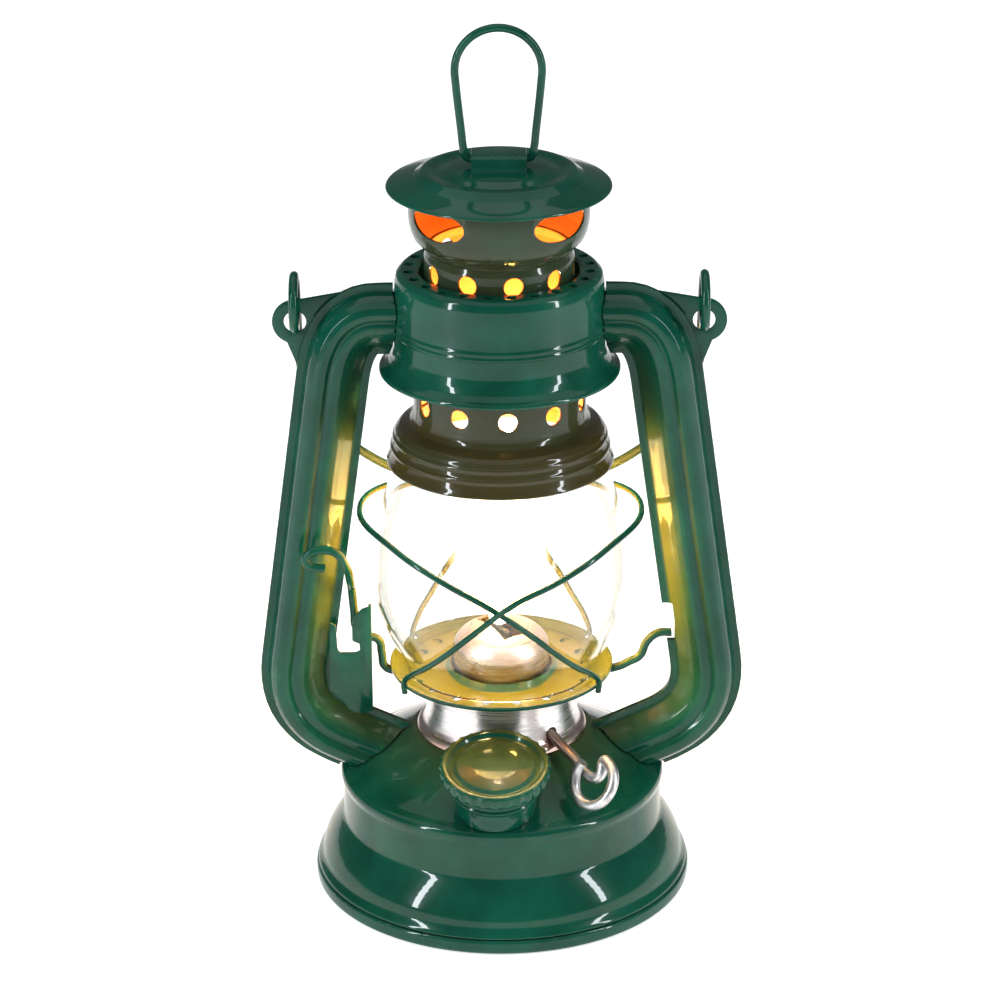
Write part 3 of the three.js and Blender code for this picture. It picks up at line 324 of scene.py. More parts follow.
# %% Bare tin
def make_tin(name, warm_low, warm_high, tint=(0.52, 0.30, 0.22, 1)):
    bright = (0.82, 0.81, 0.82, 1)
    material, tree, shader, where = new_finish(name, bright, 0.3, 1.0)
    place = use_group(tree, place_on_lamp, Vector=where, Low=warm_low, High=warm_high)
    flow = use_group(tree, paint_flow, Vector=where, Sag_Size=150.0)
    stretch = node(tree, "Mapping", {"Vector": place.outputs["Round"], "Scale": (60.0, 900.0, 2600.0)})
    lines = node(tree, "TexNoise", {"Vector": stretch.outputs[0], "Scale": 1.0, "Detail": 5.0})
    warm = between(tree, place.outputs["Rise"], 0.0, 1.0, 1.0, 0.0)
    warm = maths(tree, "MULTIPLY", warm, between(tree, flow.outputs["Cloud"], 0.3, 0.6, 0.5, 1.0))
    colour = mixed(tree, between(tree, lines.outputs[0], 0.3, 0.7), bright, (0.62, 0.61, 0.62, 1))
    colour = mixed(tree, warm, colour, tint)
    colour = mixed(tree, maths(tree, "MULTIPLY", flow.outputs["Specks"], 0.8), colour,
                   (0.05, 0.03, 0.02, 1))
    tree.links.new(colour, shader.inputs["Base Color"])
    tree.links.new(between(tree, lines.outputs[0], 0.3, 0.7, 0.22, 0.42), shader.inputs["Roughness"])
    bump(tree, shader, lines.outputs[0], 0.25, 0.0001)
    return material


collar_tin = make_tin("drawn_tin", 0.0487, 0.0545)
burner_tin = make_tin("heated_tin", 0.064, 0.090, (0.30, 0.17, 0.09, 1))
print("tin finishes:", collar_tin.name, burner_tin.name)

# %% [markdown]
# The knob is zinc-plated wire: pale, soft in its shine and slightly mottled, warmer towards the burner.
# The parts inside the burner are dull brass.

# %% Zinc and brass
def make_plating(name, colour, darker, roughness, warm=None):
    material, tree, shader, where = new_finish(name, colour, roughness, 1.0)
    mottle = node(tree, "TexNoise", {"Vector": where, "Scale": 420.0, "Detail": 5.0, "Roughness": 0.65})
    flow = use_group(tree, paint_flow, Vector=where)
    shade = mixed(tree, between(tree, mottle.outputs[0], 0.35, 0.68), colour, darker)
    if warm:
        near, far, tint = warm
        place = use_group(tree, place_on_lamp, Vector=where)
        shade = mixed(tree, between(tree, place.outputs["Radius"], near, far, 0.75, 0.0), shade, tint)
    shade = mixed(tree, maths(tree, "MULTIPLY", flow.outputs["Specks"], 0.6), shade, (0.06, 0.05, 0.04, 1))
    tree.links.new(shade, shader.inputs["Base Color"])
    tree.links.new(between(tree, mottle.outputs[0], 0.3, 0.7, roughness - 0.08, roughness + 0.14),
                   shader.inputs["Roughness"])
    bump(tree, shader, mottle.outputs[0], 0.3, 0.00012)
    return material


zinc = make_plating("zinc_plate", (0.62, 0.62, 0.63, 1), (0.38, 0.38, 0.39, 1), 0.34,
                    (0.030, 0.043, (0.50, 0.30, 0.20, 1)))
brass = make_plating("dull_brass", (0.58, 0.40, 0.15, 1), (0.30, 0.19, 0.07, 1), 0.36)
print("plated finishes:", zinc.name, brass.name)

# %% [markdown]
# Blown glass has faint ripples in it. Its shader keeps plain transmission, and a Light Path mix lets the
# lamps shine through it, because otherwise a glass shell shadows whatever it covers.

# %% Globe glass
def let_light_pass(tree, shader):
    clear = node(tree, "BsdfTransparent").outputs[0]
    shadow = node(tree, "LightPath").outputs["Is Shadow Ray"]
    passed = node(tree, "MixShader", {0: shadow, 1: shader.outputs[0], 2: clear})
    tree.links.new(passed.outputs[0], tree.nodes["Material Output"].inputs["Surface"])


glass, tree, shader, where = new_finish("clear_glass", (0.935, 0.94, 0.925), 0.0, Transmission_Weight=1.0,
                                        IOR=1.46)
drawn_up = node(tree, "Mapping", {"Vector": where, "Scale": (34.0, 34.0, 14.0)}).outputs[0]
ripple = node(tree, "TexNoise", {"Vector": drawn_up, "Scale": 1.0, "Detail": 2.0})
seeds = node(tree, "TexVoronoi", {"Vector": where, "Scale": 95.0})
seed_dots = between(tree, seeds.outputs["Distance"], 0.02, 0.05, 1.0, 0.0)
bump(tree, shader, maths(tree, "MULTIPLY_ADD", seed_dots, 0.08, ripple.outputs[0]), 0.25, 0.0006)
let_light_pass(tree, shader)
print("glass lets the lamps through")

# %% [markdown]
# The wick is a flat cotton weave, cream below and charred where it burns. The filler cap's seal is a
# plain ring of black rubber.

# %% Wick and seal
def make_wick():
    material, tree, shader, where = new_finish("cotton_wick", (0.72, 0.64, 0.48), 0.95)
    place = use_group(tree, place_on_lamp, Vector=where, Low=0.0745, High=0.0800)
    weave = node(tree, "TexWave", {"Vector": where, "Scale": 420.0, "Distortion": 0.6}, bands_direction="Z")
    cross = node(tree, "TexWave", {"Vector": where, "Scale": 380.0, "Distortion": 0.6},
                 bands_direction="DIAGONAL")
    threads = maths(tree, "MULTIPLY", weave.outputs["Fac"], cross.outputs["Fac"])
    colour = mixed(tree, threads, (0.42, 0.35, 0.24, 1), (0.74, 0.66, 0.50, 1))
    colour = mixed(tree, place.outputs["Rise"], colour, (0.012, 0.010, 0.009, 1))
    tree.links.new(colour, shader.inputs["Base Color"])
    bump(tree, shader, threads, 0.6, 0.0003)
    return material


def make_seal():
    material, tree, shader, where = new_finish("black_seal", (0.02, 0.019, 0.018), 0.75)
    grain = node(tree, "TexNoise", {"Vector": where, "Scale": 900.0, "Detail": 3.0})
    tree.links.new(mixed(tree, grain.outputs[0], (0.012, 0.011, 0.010, 1), (0.045, 0.042, 0.038, 1)),
                   shader.inputs["Base Color"])
    bump(tree, shader, grain.outputs[0], 0.3, 0.0001)
    return material


cotton = make_wick()
seal = make_seal()
print("soft finishes:", cotton.name, seal.name)

# %% [markdown]
# Now the modelling tools. A pressing is drawn as half of its section, from a few vertices. Bevelling
# those vertices rounds the corners as a press tool does, a spin makes the skin, and solidify its wall.
# Every finished piece goes through add_piece, which also says which body it rides on.

# %% Piece helpers
ROUND_STEPS = 144
WALL = 0.8
SAME_SPOT = 1e-6


def as_mesh(name, bm):
    mesh = bpy.data.meshes.new(name)
    bm.to_mesh(mesh)
    bm.free()
    return mesh


def as_object(name, bm):
    made = bpy.data.objects.new(name, as_mesh(name, bm))
    bpy.context.scene.collection.objects.link(made)
    return made


def add_piece(name, bm, body, material, replaced=(), sharp=38):
    """Makes an object of a bmesh, with its finish, and says what it rides on and stands for."""
    piece = as_object(name, bm)
    mesh = piece.data
    mesh.materials.append(material)
    mesh.shade_smooth()
    mesh.set_sharp_from_angle(angle=math.radians(sharp))
    if replaced:
        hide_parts(*replaced)
    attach(piece, body)
    print(f"{name}: {len(mesh.polygons)} faces")


def section(bm, points, corner=0.0, segments=3, closed=False):
    """Draws a section of (radius, height) points at +X, and rounds its inner corners."""
    spots = [bm.verts.new((r * MM, 0, z * MM)) for r, z in points]
    for a, b in zip(spots, spots[1:]):
        bm.edges.new((a, b))
    if closed:
        bm.edges.new((spots[-1], spots[0]))
    rounded = spots if closed else spots[1:-1]
    if corner:
        bmesh.ops.bevel(bm, geom=rounded, offset=corner * MM, offset_type="OFFSET", segments=segments,
                        profile=0.5, affect="VERTICES", clamp_overlap=True, material=-1)


def spin_skin(bm, steps=ROUND_STEPS):
    bmesh.ops.spin(bm, geom=bm.verts[:] + bm.edges[:], cent=(0, 0, 0), axis=(0, 0, 1), dvec=(0, 0, 0),
                   angle=2 * math.pi, steps=steps, use_merge=True, use_duplicate=False)
    bmesh.ops.remove_doubles(bm, verts=bm.verts, dist=SAME_SPOT)
    bmesh.ops.recalc_face_normals(bm, faces=bm.faces)


def pressing(points, corner, wall=WALL, segments=3, flip=False):
    """A spun sheet of even wall. The points are its outside, and the wall lies inside them."""
    bm = bmesh.new()
    section(bm, points, corner, segments)
    spin_skin(bm)
    if flip:
        bmesh.ops.reverse_faces(bm, faces=bm.faces)
    bmesh.ops.solidify(bm, geom=bm.faces[:], thickness=wall * MM)
    bmesh.ops.recalc_face_normals(bm, faces=bm.faces)
    return bm


def turned_solid(points, corner, steps=ROUND_STEPS):
    """A spun body from a whole section that begins and ends on the axis, or closes on itself."""
    bm = bmesh.new()
    section(bm, points, corner, closed=points[0][0] > 0)
    spin_skin(bm, steps)
    return bm


print("piece helpers ready")

# %% [markdown]
# Holes are punched with a boolean. A piece's round cutters are gathered in one mesh, so that they cut it
# in one go. A narrow bevel afterwards gives punched and trimmed edges their rounded, painted lip.

# %% Cutting and softening edges
LIP = 0.12


def cutters(*shapes):
    """One mesh of closed cutters: each shape is (radius x, radius y, depth, matrix)."""
    bm = bmesh.new()
    for across, along, depth, place in shapes:
        pin = bmesh.ops.create_cone(bm, cap_ends=True, segments=32, radius1=MM, radius2=MM,
                                    depth=depth * MM)
        stretch = Matrix.Diagonal((across, along, 1, 1))
        bmesh.ops.transform(bm, matrix=place @ stretch, verts=pin["verts"])
    bmesh.ops.recalc_face_normals(bm, faces=bm.faces)
    return bm


def box_cutter(place, width, depth, height):
    bm = bmesh.new()
    cube = bmesh.ops.create_cube(bm, size=MM)
    bmesh.ops.transform(bm, verts=cube["verts"], matrix=place @ Matrix.Diagonal((width, depth, height, 1)))
    return bm


def worked(bm, cutter=None, lip=0.0, lip_angle=40, wall=0.0):
    """A bmesh after a wall, a boolean cut and a narrow bevel of its sharp edges."""
    blank = as_object("blank", bm)
    if wall:
        thicken = blank.modifiers.new("wall", "SOLIDIFY")
        thicken.thickness = wall * MM
        thicken.offset = -1.0
    if cutter is not None:
        tool = as_object("punch", cutter)
        cut = blank.modifiers.new("punch", "BOOLEAN")
        cut.operation = "DIFFERENCE"
        cut.solver = "EXACT"
        cut.object = tool
    if lip:
        soften = blank.modifiers.new("lip", "BEVEL")
        soften.width = lip * MM
        soften.segments = 2
        soften.limit_method = "ANGLE"
        soften.angle_limit = math.radians(lip_angle)
    view = bpy.context.evaluated_depsgraph_get()
    final = bpy.data.meshes.new_from_object(blank.evaluated_get(view))
    made = bmesh.new()
    made.from_mesh(final)
    bpy.data.objects.remove(blank)
    if cutter is not None:
        bpy.data.objects.remove(tool)
    bmesh.ops.remove_doubles(made, verts=made.verts, dist=SAME_SPOT)
    bmesh.ops.dissolve_degenerate(made, edges=made.edges, dist=SAME_SPOT)
    return made


def wall_holes(count, first, radius, height, wall, width=1.0, depth=8.0):
    """Holes through an upright round wall. The first is at an angle to the right of the front."""
    turns = [Matrix.Rotation(first + i * 2 * math.pi / count, 4, "Z") for i in range(count)]
    out, level = Matrix.Translation((0, -wall * MM, height * MM)), Matrix.Rotation(math.pi / 2, 4, "X")
    return [(radius * width, radius, depth, turn @ out @ level) for turn in turns]


print("cutting tools ready")

# %% [markdown]
# Wires are curves with a round bevel, which is exactly how a wire is described: a line and a thickness.
# They end as meshes, so that their cut ends can be rounded.

# %% Wires
def wire(name, points, radius, body, material, replaced, kind="AUTO", fine=8):
    line = bpy.data.curves.new(name, "CURVE")
    line.dimensions = "3D"
    line.bevel_depth = radius * MM
    line.bevel_resolution = 5
    line.use_fill_caps = True
    line.resolution_u = fine
    spline = line.splines.new("BEZIER")
    spline.bezier_points.add(len(points) - 1)
    for knot, place in zip(spline.bezier_points, points):
        knot.co = Vector(place) * MM
        knot.handle_left_type = knot.handle_right_type = kind
    bent = bpy.data.objects.new(name, line)
    bpy.context.scene.collection.objects.link(bent)
    view = bpy.context.evaluated_depsgraph_get()
    final = bpy.data.meshes.new_from_object(bent.evaluated_get(view))
    bm = bmesh.new()
    bm.from_mesh(final)
    bpy.data.objects.remove(bent)
    bmesh.ops.remove_doubles(bm, verts=bm.verts, dist=SAME_SPOT)
    ends = {edge for face in bm.faces if len(face.verts) > 4 for edge in face.edges}
    bmesh.ops.bevel(bm, geom=list(ends), offset=radius * 0.4 * MM, offset_type="OFFSET", segments=3,
                    profile=0.5,
                    affect="EDGES", clamp_overlap=True, material=-1)
    bmesh.ops.recalc_face_normals(bm, faces=bm.faces)
    add_piece(name, bm, body, material, replaced, sharp=50)


def arc(count, start, stop, place):
    return [place(start + (stop - start) * i / count) for i in range(count + 1)]


print("wire tool ready")

# %% [markdown]
# The tank is one drawn pressing: a flared foot, an upright wall, a bead where the wall turns over, and a
# cone that rises to the burner. Its filler hole is punched through the front of the cone.

# %% Tank
TANK_R, FOOT_FLARE = 48.7, 6.7
FILLER_TILT = math.radians(14)
FILLER_AT = Vector((-2, -41, 55))
FILLER = Matrix.Translation(FILLER_AT * MM) @ Matrix.Rotation(FILLER_TILT, 4, "X")

flare = arc(8, 0, 1, lambda t: (TANK_R + FOOT_FLARE * (1 - t ** 1.7), 7.5 + 13.0 * t))
tank_line = [(57.0, 4.9), (56.9, 5.6), (56.2, 6.4), *flare, (TANK_R, 31.8), (49.3, 33.4), (49.5, 34.6),
             (49.0, 35.9),
             (47.4, 36.7), (46.2, 37.2), (27.4, 48.3), (26.2, 48.8), (13.0, 48.8)]
filler_hole = cutters((10.4, 10.4, 30, FILLER @ Matrix.Translation((0, 0, -0.012))))
tank = worked(pressing(tank_line, corner=0.5), filler_hole)
add_piece("tank", tank, "root", enamel, ["tank_shell"])

# %% [markdown]
# The bottom is a second pressing, rolled over the tank's lower edge. The roll shows as a band round the
# foot. Real ones carry a thin bead of paint along the seam, with a few drops where it gathered.

# %% Foot rim
rim_line = [(0, 3.2), (52.6, 3.2), (55.0, 0.5), (55.7, 0.0), (56.8, 0.0), (57.4, 0.6), (57.5, 1.5),
            (57.5, 3.6),
            (57.1, 4.3), (55.0, 4.4), (53.8, 3.9), (0, 3.9)]
rim_body = turned_solid(rim_line, corner=0.3)
PAINT_DROPS, SEAM_R, SEAM_Z = 26, 57.45, 4.1
random.seed(7)
for _ in range(PAINT_DROPS):
    turn = random.uniform(0, 2 * math.pi)
    size = random.uniform(0.18, 0.42)
    drop = bmesh.ops.create_icosphere(rim_body, subdivisions=2, radius=size * MM)
    bmesh.ops.transform(rim_body, verts=drop["verts"], matrix=Matrix.Rotation(turn, 4, "Z")
                        @ Matrix.Translation(Vector((SEAM_R - size, 0, SEAM_Z)) * MM)
                        @ Matrix.Diagonal((1, random.uniform(1.4, 3.5), 0.9, 1)))
add_piece("foot_rim", rim_body, "root", enamel, ["tank_bottom"])

# %% [markdown]
# The filler stands on the cone and leans forward. The neck is a short tube with a flange. The cap is a
# domed disc inside a raised ring, with a wavy grip round its edge and a ridged skirt below. The waves are
# made by moving the spun vertices in and out as they go round.

# %% Filler neck and cap
def on_filler(bm):
    bmesh.ops.transform(bm, matrix=FILLER, verts=bm.verts)
    return bm


def waved(bm, low, high, inside, count, depth):
    """Moves the vertices between two heights and beyond a radius in and out, count times round."""
    for vert in bm.verts:
        away = vert.co.to_2d().length
        if low * MM <= vert.co.z <= high * MM and away > inside * MM:
            wave = depth * MM * math.cos(count * math.atan2(vert.co.y, vert.co.x))
            vert.co.xy = vert.co.xy * (1 + wave / away)
    return bm


neck_line = [(10.2, -2.4), (11.0, -2.4), (11.0, -7.6), (12.9, -7.7), (13.4, -8.4), (12.8, -9.5),
             (12.4, -12), (12.2, -16),
             (11.2, -16), (10.2, -12)]
add_piece("filler_spout", on_filler(turned_solid(neck_line, corner=0.25)), "root", enamel,
          ["filler_neck"])

lid_line = [(0, 0.25), (7.0, 0.15), (11.4, -0.25), (12.6, -0.9), (13.5, -0.7), (14.4, 0.15), (15.6, 0.25),
            (16.3, -0.2),
            (16.45, -1.0), (16.4, -2.2), (16.2, -3.2), (15.6, -4.0), (14.5, -4.5), (13.6, -5.0),
            (13.3, -5.4), (13.6, -5.8),
            (13.3, -6.2), (13.6, -6.6), (13.4, -7.2), (11.9, -7.2), (11.9, -3.2), (12.8, -1.2), (0, -0.8)]
lid = turned_solid(lid_line, corner=0.3, steps=224)
lid = waved(lid, low=-3.6, high=0.1, inside=15.2, count=28, depth=0.28)
add_piece("filler_lid", on_filler(lid), "filler_cap", lid_enamel, ["filler_cap"])

# %% [markdown]
# The air collar is a waisted ring of bare tin. It guides air to the burner and carries the knob's shaft
# through a hole in its side.

# %% Air collar
SHAFT_TURN, SHAFT_DIP = math.radians(32), math.radians(12.7)
SHAFT_OFF_AXIS, SHAFT_Z = 3.4, 58.6
SHAFT_AIM = Vector((math.sin(SHAFT_TURN) * math.cos(SHAFT_DIP), -math.cos(SHAFT_TURN) * math.cos(SHAFT_DIP),
                    -math.sin(SHAFT_DIP)))
SHAFT_START = Vector((math.cos(SHAFT_TURN) * SHAFT_OFF_AXIS, math.sin(SHAFT_TURN) * SHAFT_OFF_AXIS,
                      SHAFT_Z))
shaft_turn = SHAFT_AIM.to_track_quat("Z", "Y").to_matrix().to_4x4()
shaft_hole = cutters((2.1, 2.1, 30, Matrix.Translation((SHAFT_START + SHAFT_AIM * 25) * MM) @ shaft_turn))
collar_line = [(25.8, 49.1), (25.75, 49.9), (25.2, 50.7), (24.0, 51.3), (23.3, 52.6), (22.95, 55.5),
               (22.85, 59.0),
               (22.95, 61.0), (23.3, 63.6), (23.55, 65.2), (23.55, 67.9)]
collar = worked(pressing(collar_line, corner=0.5, segments=4), shaft_hole, lip=LIP)
add_piece("air_collar_tin", collar, "root", collar_tin, ["air_collar"])

# %% [markdown]
# The knob is one wire: a straight shaft that ends in a ring, wound back over itself. Its curve is built
# in the shaft's own directions: along it, across it, and up from the plane of the ring.

# %% Wick knob
RING_R, SHAFT_R, SHAFT_REACH = 6.9, 1.55, math.hypot(49.4, SHAFT_OFF_AXIS)
RING_TWIST = math.radians(62)
LOOP_FROM, LOOP_TO = 0.62 * math.pi, -1.12 * math.pi
over = (Vector((0, 0, 1)) - SHAFT_AIM * SHAFT_AIM.z).normalized()
over.rotate(Matrix.Rotation(RING_TWIST, 3, SHAFT_AIM))
across = over.cross(SHAFT_AIM)


def on_shaft(along, side, rise):
    return SHAFT_START + SHAFT_AIM * along + across * side + over * rise


loop = arc(14, LOOP_FROM, LOOP_TO,
           lambda a: on_shaft(SHAFT_REACH + RING_R * math.cos(a), RING_R * math.sin(a),
                              2.2 * SHAFT_R * (LOOP_FROM - a) / (LOOP_FROM - LOOP_TO)))
shaft_line = [on_shaft(-7, 0, 0), on_shaft(4, 0, 0), on_shaft(16, 0, 0),
              on_shaft(SHAFT_REACH - RING_R - 6, 0, 0),
              on_shaft(SHAFT_REACH - 2.6, 0.2, -0.6), on_shaft(SHAFT_REACH - 1.4, 2.2, -0.6), *loop]
wire("wick_knob_wire", shaft_line, SHAFT_R + 0.1, "wick_knob", zinc, ["wick_shaft"])

# %% [markdown]
# The burner dome is a small heated cap with a slot for the flat wick. The wick itself is a flat bar of
# cotton: a grid, made thick, with its burning end left ragged.

# %% Burner dome and wick
WICK_TURN = Matrix.Rotation(SHAFT_TURN, 4, "Z")
WICK_SIDE = -1.0
dome_line = [(14.6, 67.0), (14.6, 74.8), *arc(10, 0.1, 1, lambda t: (14.6 * math.cos(t * math.pi / 2),
                                                                    75.0 + 8.4 * math.sin(t * math.pi / 2)))]
slot = box_cutter(WICK_TURN @ Matrix.Translation(Vector((WICK_SIDE, 0, 87)) * MM), 7.0, 18.0, 20.0)
dome = worked(pressing(dome_line, corner=0.2), slot, lip=0.15)
add_piece("burner_dome_tin", dome, "root", burner_tin, ["burner_dome"])

WICK_WIDTH, WICK_LENGTH, WICK_THICK, WICK_MIDDLE = 12.0, 67.0, 1.7, 48.4
wick_mesh = bmesh.new()
bmesh.ops.create_grid(wick_mesh, x_segments=24, y_segments=80, size=0.5)
bmesh.ops.transform(wick_mesh, verts=wick_mesh.verts,
                    matrix=Matrix.Diagonal((WICK_WIDTH * MM, WICK_LENGTH * MM, 1, 1)))
random.seed(3)
for vert in wick_mesh.verts:
    end = max(0.0, (vert.co.y / MM - 31.0) / 2.5)
    vert.co.y += end * random.uniform(-0.5, 0.25) * MM
    vert.co.z += 0.12 * MM * math.sin(vert.co.y / MM * 2.2) + end * random.uniform(-0.2, 0.2) * MM
bmesh.ops.solidify(wick_mesh, geom=wick_mesh.faces[:], thickness=WICK_THICK * MM)
wick_at = Vector((WICK_SIDE + WICK_THICK / 2, 0, WICK_MIDDLE))
bmesh.ops.transform(wick_mesh, verts=wick_mesh.verts, matrix=WICK_TURN @ Matrix.Translation(wick_at * MM)
                    @ Matrix.Rotation(math.pi / 2, 4, "Z") @ Matrix.Rotation(math.pi / 2, 4, "X"))
bmesh.ops.recalc_face_normals(wick_mesh, faces=wick_mesh.faces)
add_piece("cotton_wick_flat", wick_mesh, "wick", cotton, ["wick"])

# %% [markdown]
# The globe's plate is a shallow dish with a low rim. Small air holes run round it, and the guard wires
# hook into notches in its rim.

# %% Globe plate
PLATE_HOLES, HOOK_AT = 18, math.radians(62)
plate_line = [(16.0, 69.8), (17.0, 68.2), (18.2, 68.2), (23.0, 68.2), (27.6, 68.2), (29.6, 68.2),
              (31.2, 68.5), (32.4, 69.0), (33.1, 69.4),
              (33.0, 69.9)]
plate_holes = [(1.4, 1.9, 8, Matrix.Rotation((i + 0.5) * 2 * math.pi / PLATE_HOLES, 4, "Z")
                @ Matrix.Translation(Vector((0, -26.2, 69)) * MM)) for i in range(PLATE_HOLES)]
notches = [(1.3, 1.3, 8, Matrix.Rotation(back + side * math.radians(60), 4, "Z")
            @ Matrix.Translation(Vector((0, -33.2, 69.6)) * MM)) for side in (-1, 1) for back in (0,
                                                            math.pi)]
plate = worked(pressing(plate_line, corner=0.4, flip=True), cutters(*plate_holes, *notches), lip=LIP)
add_piece("globe_plate_dish", plate, "globe_carrier", enamel, ["globe_plate"])

# %% [markdown]
# The globe is blown glass: a belly between a foot and a neck, with thick, fire-polished rims. A spline
# through a few radii gives the swell.

# %% Globe
GLOBE_FOOT_Z, GLOBE_HEIGHT = 69.3, 77.5
GLASS = 1.5


def soft_line(points, fine=5):
    """Points on a smooth line through the given ones."""
    line = []
    for i in range(len(points) - 1):
        before, here, there, after = (Vector(points[max(0,
                                                        min(len(points) - 1,
                                                            k))]).to_3d() for k in range(i - 1, i + 3))
        reach_out, reach_in = (there - before) / 6, (after - here) / 6
        line += interpolate_bezier(here, here + reach_out, there - reach_in, there, fine + 1)[:-1]
    line.append(Vector(points[-1]).to_3d())
    return [(p.x, p.y) for p in line]


SWELL = [(0, 28.8), (0.04, 29.5), (0.14, 33.7), (0.26, 37.3), (0.38, 38.7), (0.52, 38.3), (0.66, 36.0),
         (0.8, 32.6), (0.9, 30.1),
         (1, 29.2)]
globe_line = soft_line([(r, GLOBE_FOOT_Z + GLOBE_HEIGHT * share) for share, r in SWELL])
globe = worked(pressing(globe_line, corner=0, wall=GLASS), lip=0.5, lip_angle=60)
add_piece("globe_glass", globe, "globe_carrier", glass, ["globe"])

# %% [markdown]
# Two guard wires cross in front of the globe and again behind it. Each hooks under the plate, climbs over
# one side of the belly and comes down behind. Their points are set out round the globe, at a small stand
# from the glass, so that they follow its swell.

# %% Guard wires
PLATE_Z, PLATE_R = 69.0, 33.1
GUARD_R = 0.9


def globe_radius(share):
    (low, low_r), (high, high_r) = next(pair for pair in zip(SWELL, SWELL[1:]) if share <= pair[1][0])
    return low_r + (high_r - low_r) * (share - low) / (high - low)


def guard_points(side):
    def around(azimuth, r, z):
        return Vector((side * r * math.sin(azimuth), -r * math.cos(azimuth), z))

    def at_globe(azimuth, share, stand):
        return around(azimuth, globe_radius(share) + stand, GLOBE_FOOT_Z + GLOBE_HEIGHT * share)

    hook = HOOK_AT
    front = [around(-hook, PLATE_R - 0.2, PLATE_Z - 2.6), around(-hook, PLATE_R + 0.1, PLATE_Z + 0.4),
             at_globe(-hook + 0.16, 0.067, 3.3), at_globe(-0.69, 0.138, 1.8), at_globe(-0.46, 0.228, 1.6),
             at_globe(-0.2, 0.352, 1.9), at_globe(0.08, 0.471 + side * 0.013, 3.8 + (side - 1) * 1.2),
             at_globe(0.44, 0.556, 3.3), at_globe(0.84, 0.623, 4.2)]
    return [*front, at_globe(math.pi / 2, 0.654, 6.1), *[Vector((p.x, -p.y, p.z)) for p in reversed(front)]]


for name, side, node_name in (("guard_right", 1, "guard_wire_a"), ("guard_left", -1, "guard_wire_b")):
    wire(name, guard_points(side), GUARD_R, "globe_carrier", wire_enamel, [node_name])

# %% [markdown]
# The globe cap is a bell with vent holes round its drum and two beads on its skirt. It sits on the
# globe's neck and rises with the chimney.

# %% Globe cap
VENT_R, CAP_R = 2.85, 25.6
cap_line = [(33.8, 136.6), (33.7, 137.2), (33.0, 138.4), (32.4, 140.4), (32.7, 141.0), (32.7, 141.6),
            (32.1, 142.2), (31.7, 143.6),
            (32.0, 144.2), (32.0, 144.8), (31.4, 145.4), (31.1, 146.4), (29.8, 147.8), (28.2, 148.5),
            (26.8, 149.2), (25.8, 150.6),
            (25.6, 152.4), (25.6, 173.4), (25.0, 174.6), (24.2, 174.9), (20.0, 174.9)]
cap_vents = wall_holes(11, 0.09, VENT_R, 157.3, CAP_R)
cap = worked(pressing(cap_line, corner=0.35, wall=0.65), cutters(*cap_vents), lip=LIP)
add_piece("globe_cap_bell", cap, "chimney", soot_and_glow_enamel, ["globe_cap"])

# %% [markdown]
# Above it come the chimney tube, with a ring of small vents, and the bowl, with four ovals that show the
# fire's glow. Three short ribs are pressed into the bowl's front.

# %% Chimney tube and bowl
PIPE_R, BOWL_R = 22.0, 26.5
OVAL_HIGH, OVAL_WIDE = 4.8, 10.25
tube_line = [(22.9, 176.0), (22.2, 176.5), (22.0, 177.6), (22.0, 200.4), (21.5, 201.6), (20.9, 203.2)]
tube_vents = wall_holes(10, 0.19, VENT_R, 197.4, PIPE_R)
chimney_tube = worked(pressing(tube_line, corner=0.4), cutters(*tube_vents), lip=LIP)
add_piece("chimney_pipe", chimney_tube, "chimney", soot_and_glow_enamel, ["chimney_tube"])

bowl_line = [(21.4, 202.1), (21.8, 202.8), (22.2, 203.6), (23.2, 204.6), (25.0, 206.4), (25.9, 208.8),
             (26.35, 211.2), (26.5, 213.4),
             (26.5, 222.5)]
ovals = wall_holes(4, math.pi / 4, OVAL_HIGH, 215.2, BOWL_R, OVAL_WIDE / OVAL_HIGH, 12.0)
RIB_Z, RIB_HALF_HIGH, RIB_WIDE, RIB_DEEP = 206.2, 3.2, 0.022, 0.012
bowl = pressing(bowl_line, corner=0.5)
for vert in bowl.verts:
    turn = math.atan2(vert.co.x, -vert.co.y)
    rise = vert.co.z / MM
    rib = sum(math.exp(-((turn - place) / RIB_WIDE) ** 2) for place in (-0.13, 0.0, 0.13))
    vert.co.xy *= 1 - RIB_DEEP * rib * max(0.0, 1 - abs(rise - RIB_Z) / RIB_HALF_HIGH)
bowl = worked(bowl, cutters(*ovals), lip=LIP)
add_piece("vented_bowl", bowl, "chimney", soot_and_glow_enamel, ["chimney_bowl"])

# %% [markdown]
# The hood is a wide, shallow lid with a ridge and a raised middle. A ribbed strap on it holds the bar of
# the hanging ring.

# %% Hood, strap and hanging ring
hood_line = [(32.3, 220.8), (32.85, 221.0), (32.9, 221.5), (32.3, 222.0), (28.4, 223.2), (25.0, 224.2),
             (23.4, 225.3), (22.4, 226.1),
             (20.8, 226.2), (19.2, 225.7), (17.6, 225.5), (15.8, 226.2), (14.4, 226.7), (9.0, 227.2),
             (0, 227.4)]
add_piece("hood_lid", worked(pressing(hood_line, corner=0.5), lip=LIP), "chimney", enamel,
          ["hood"])

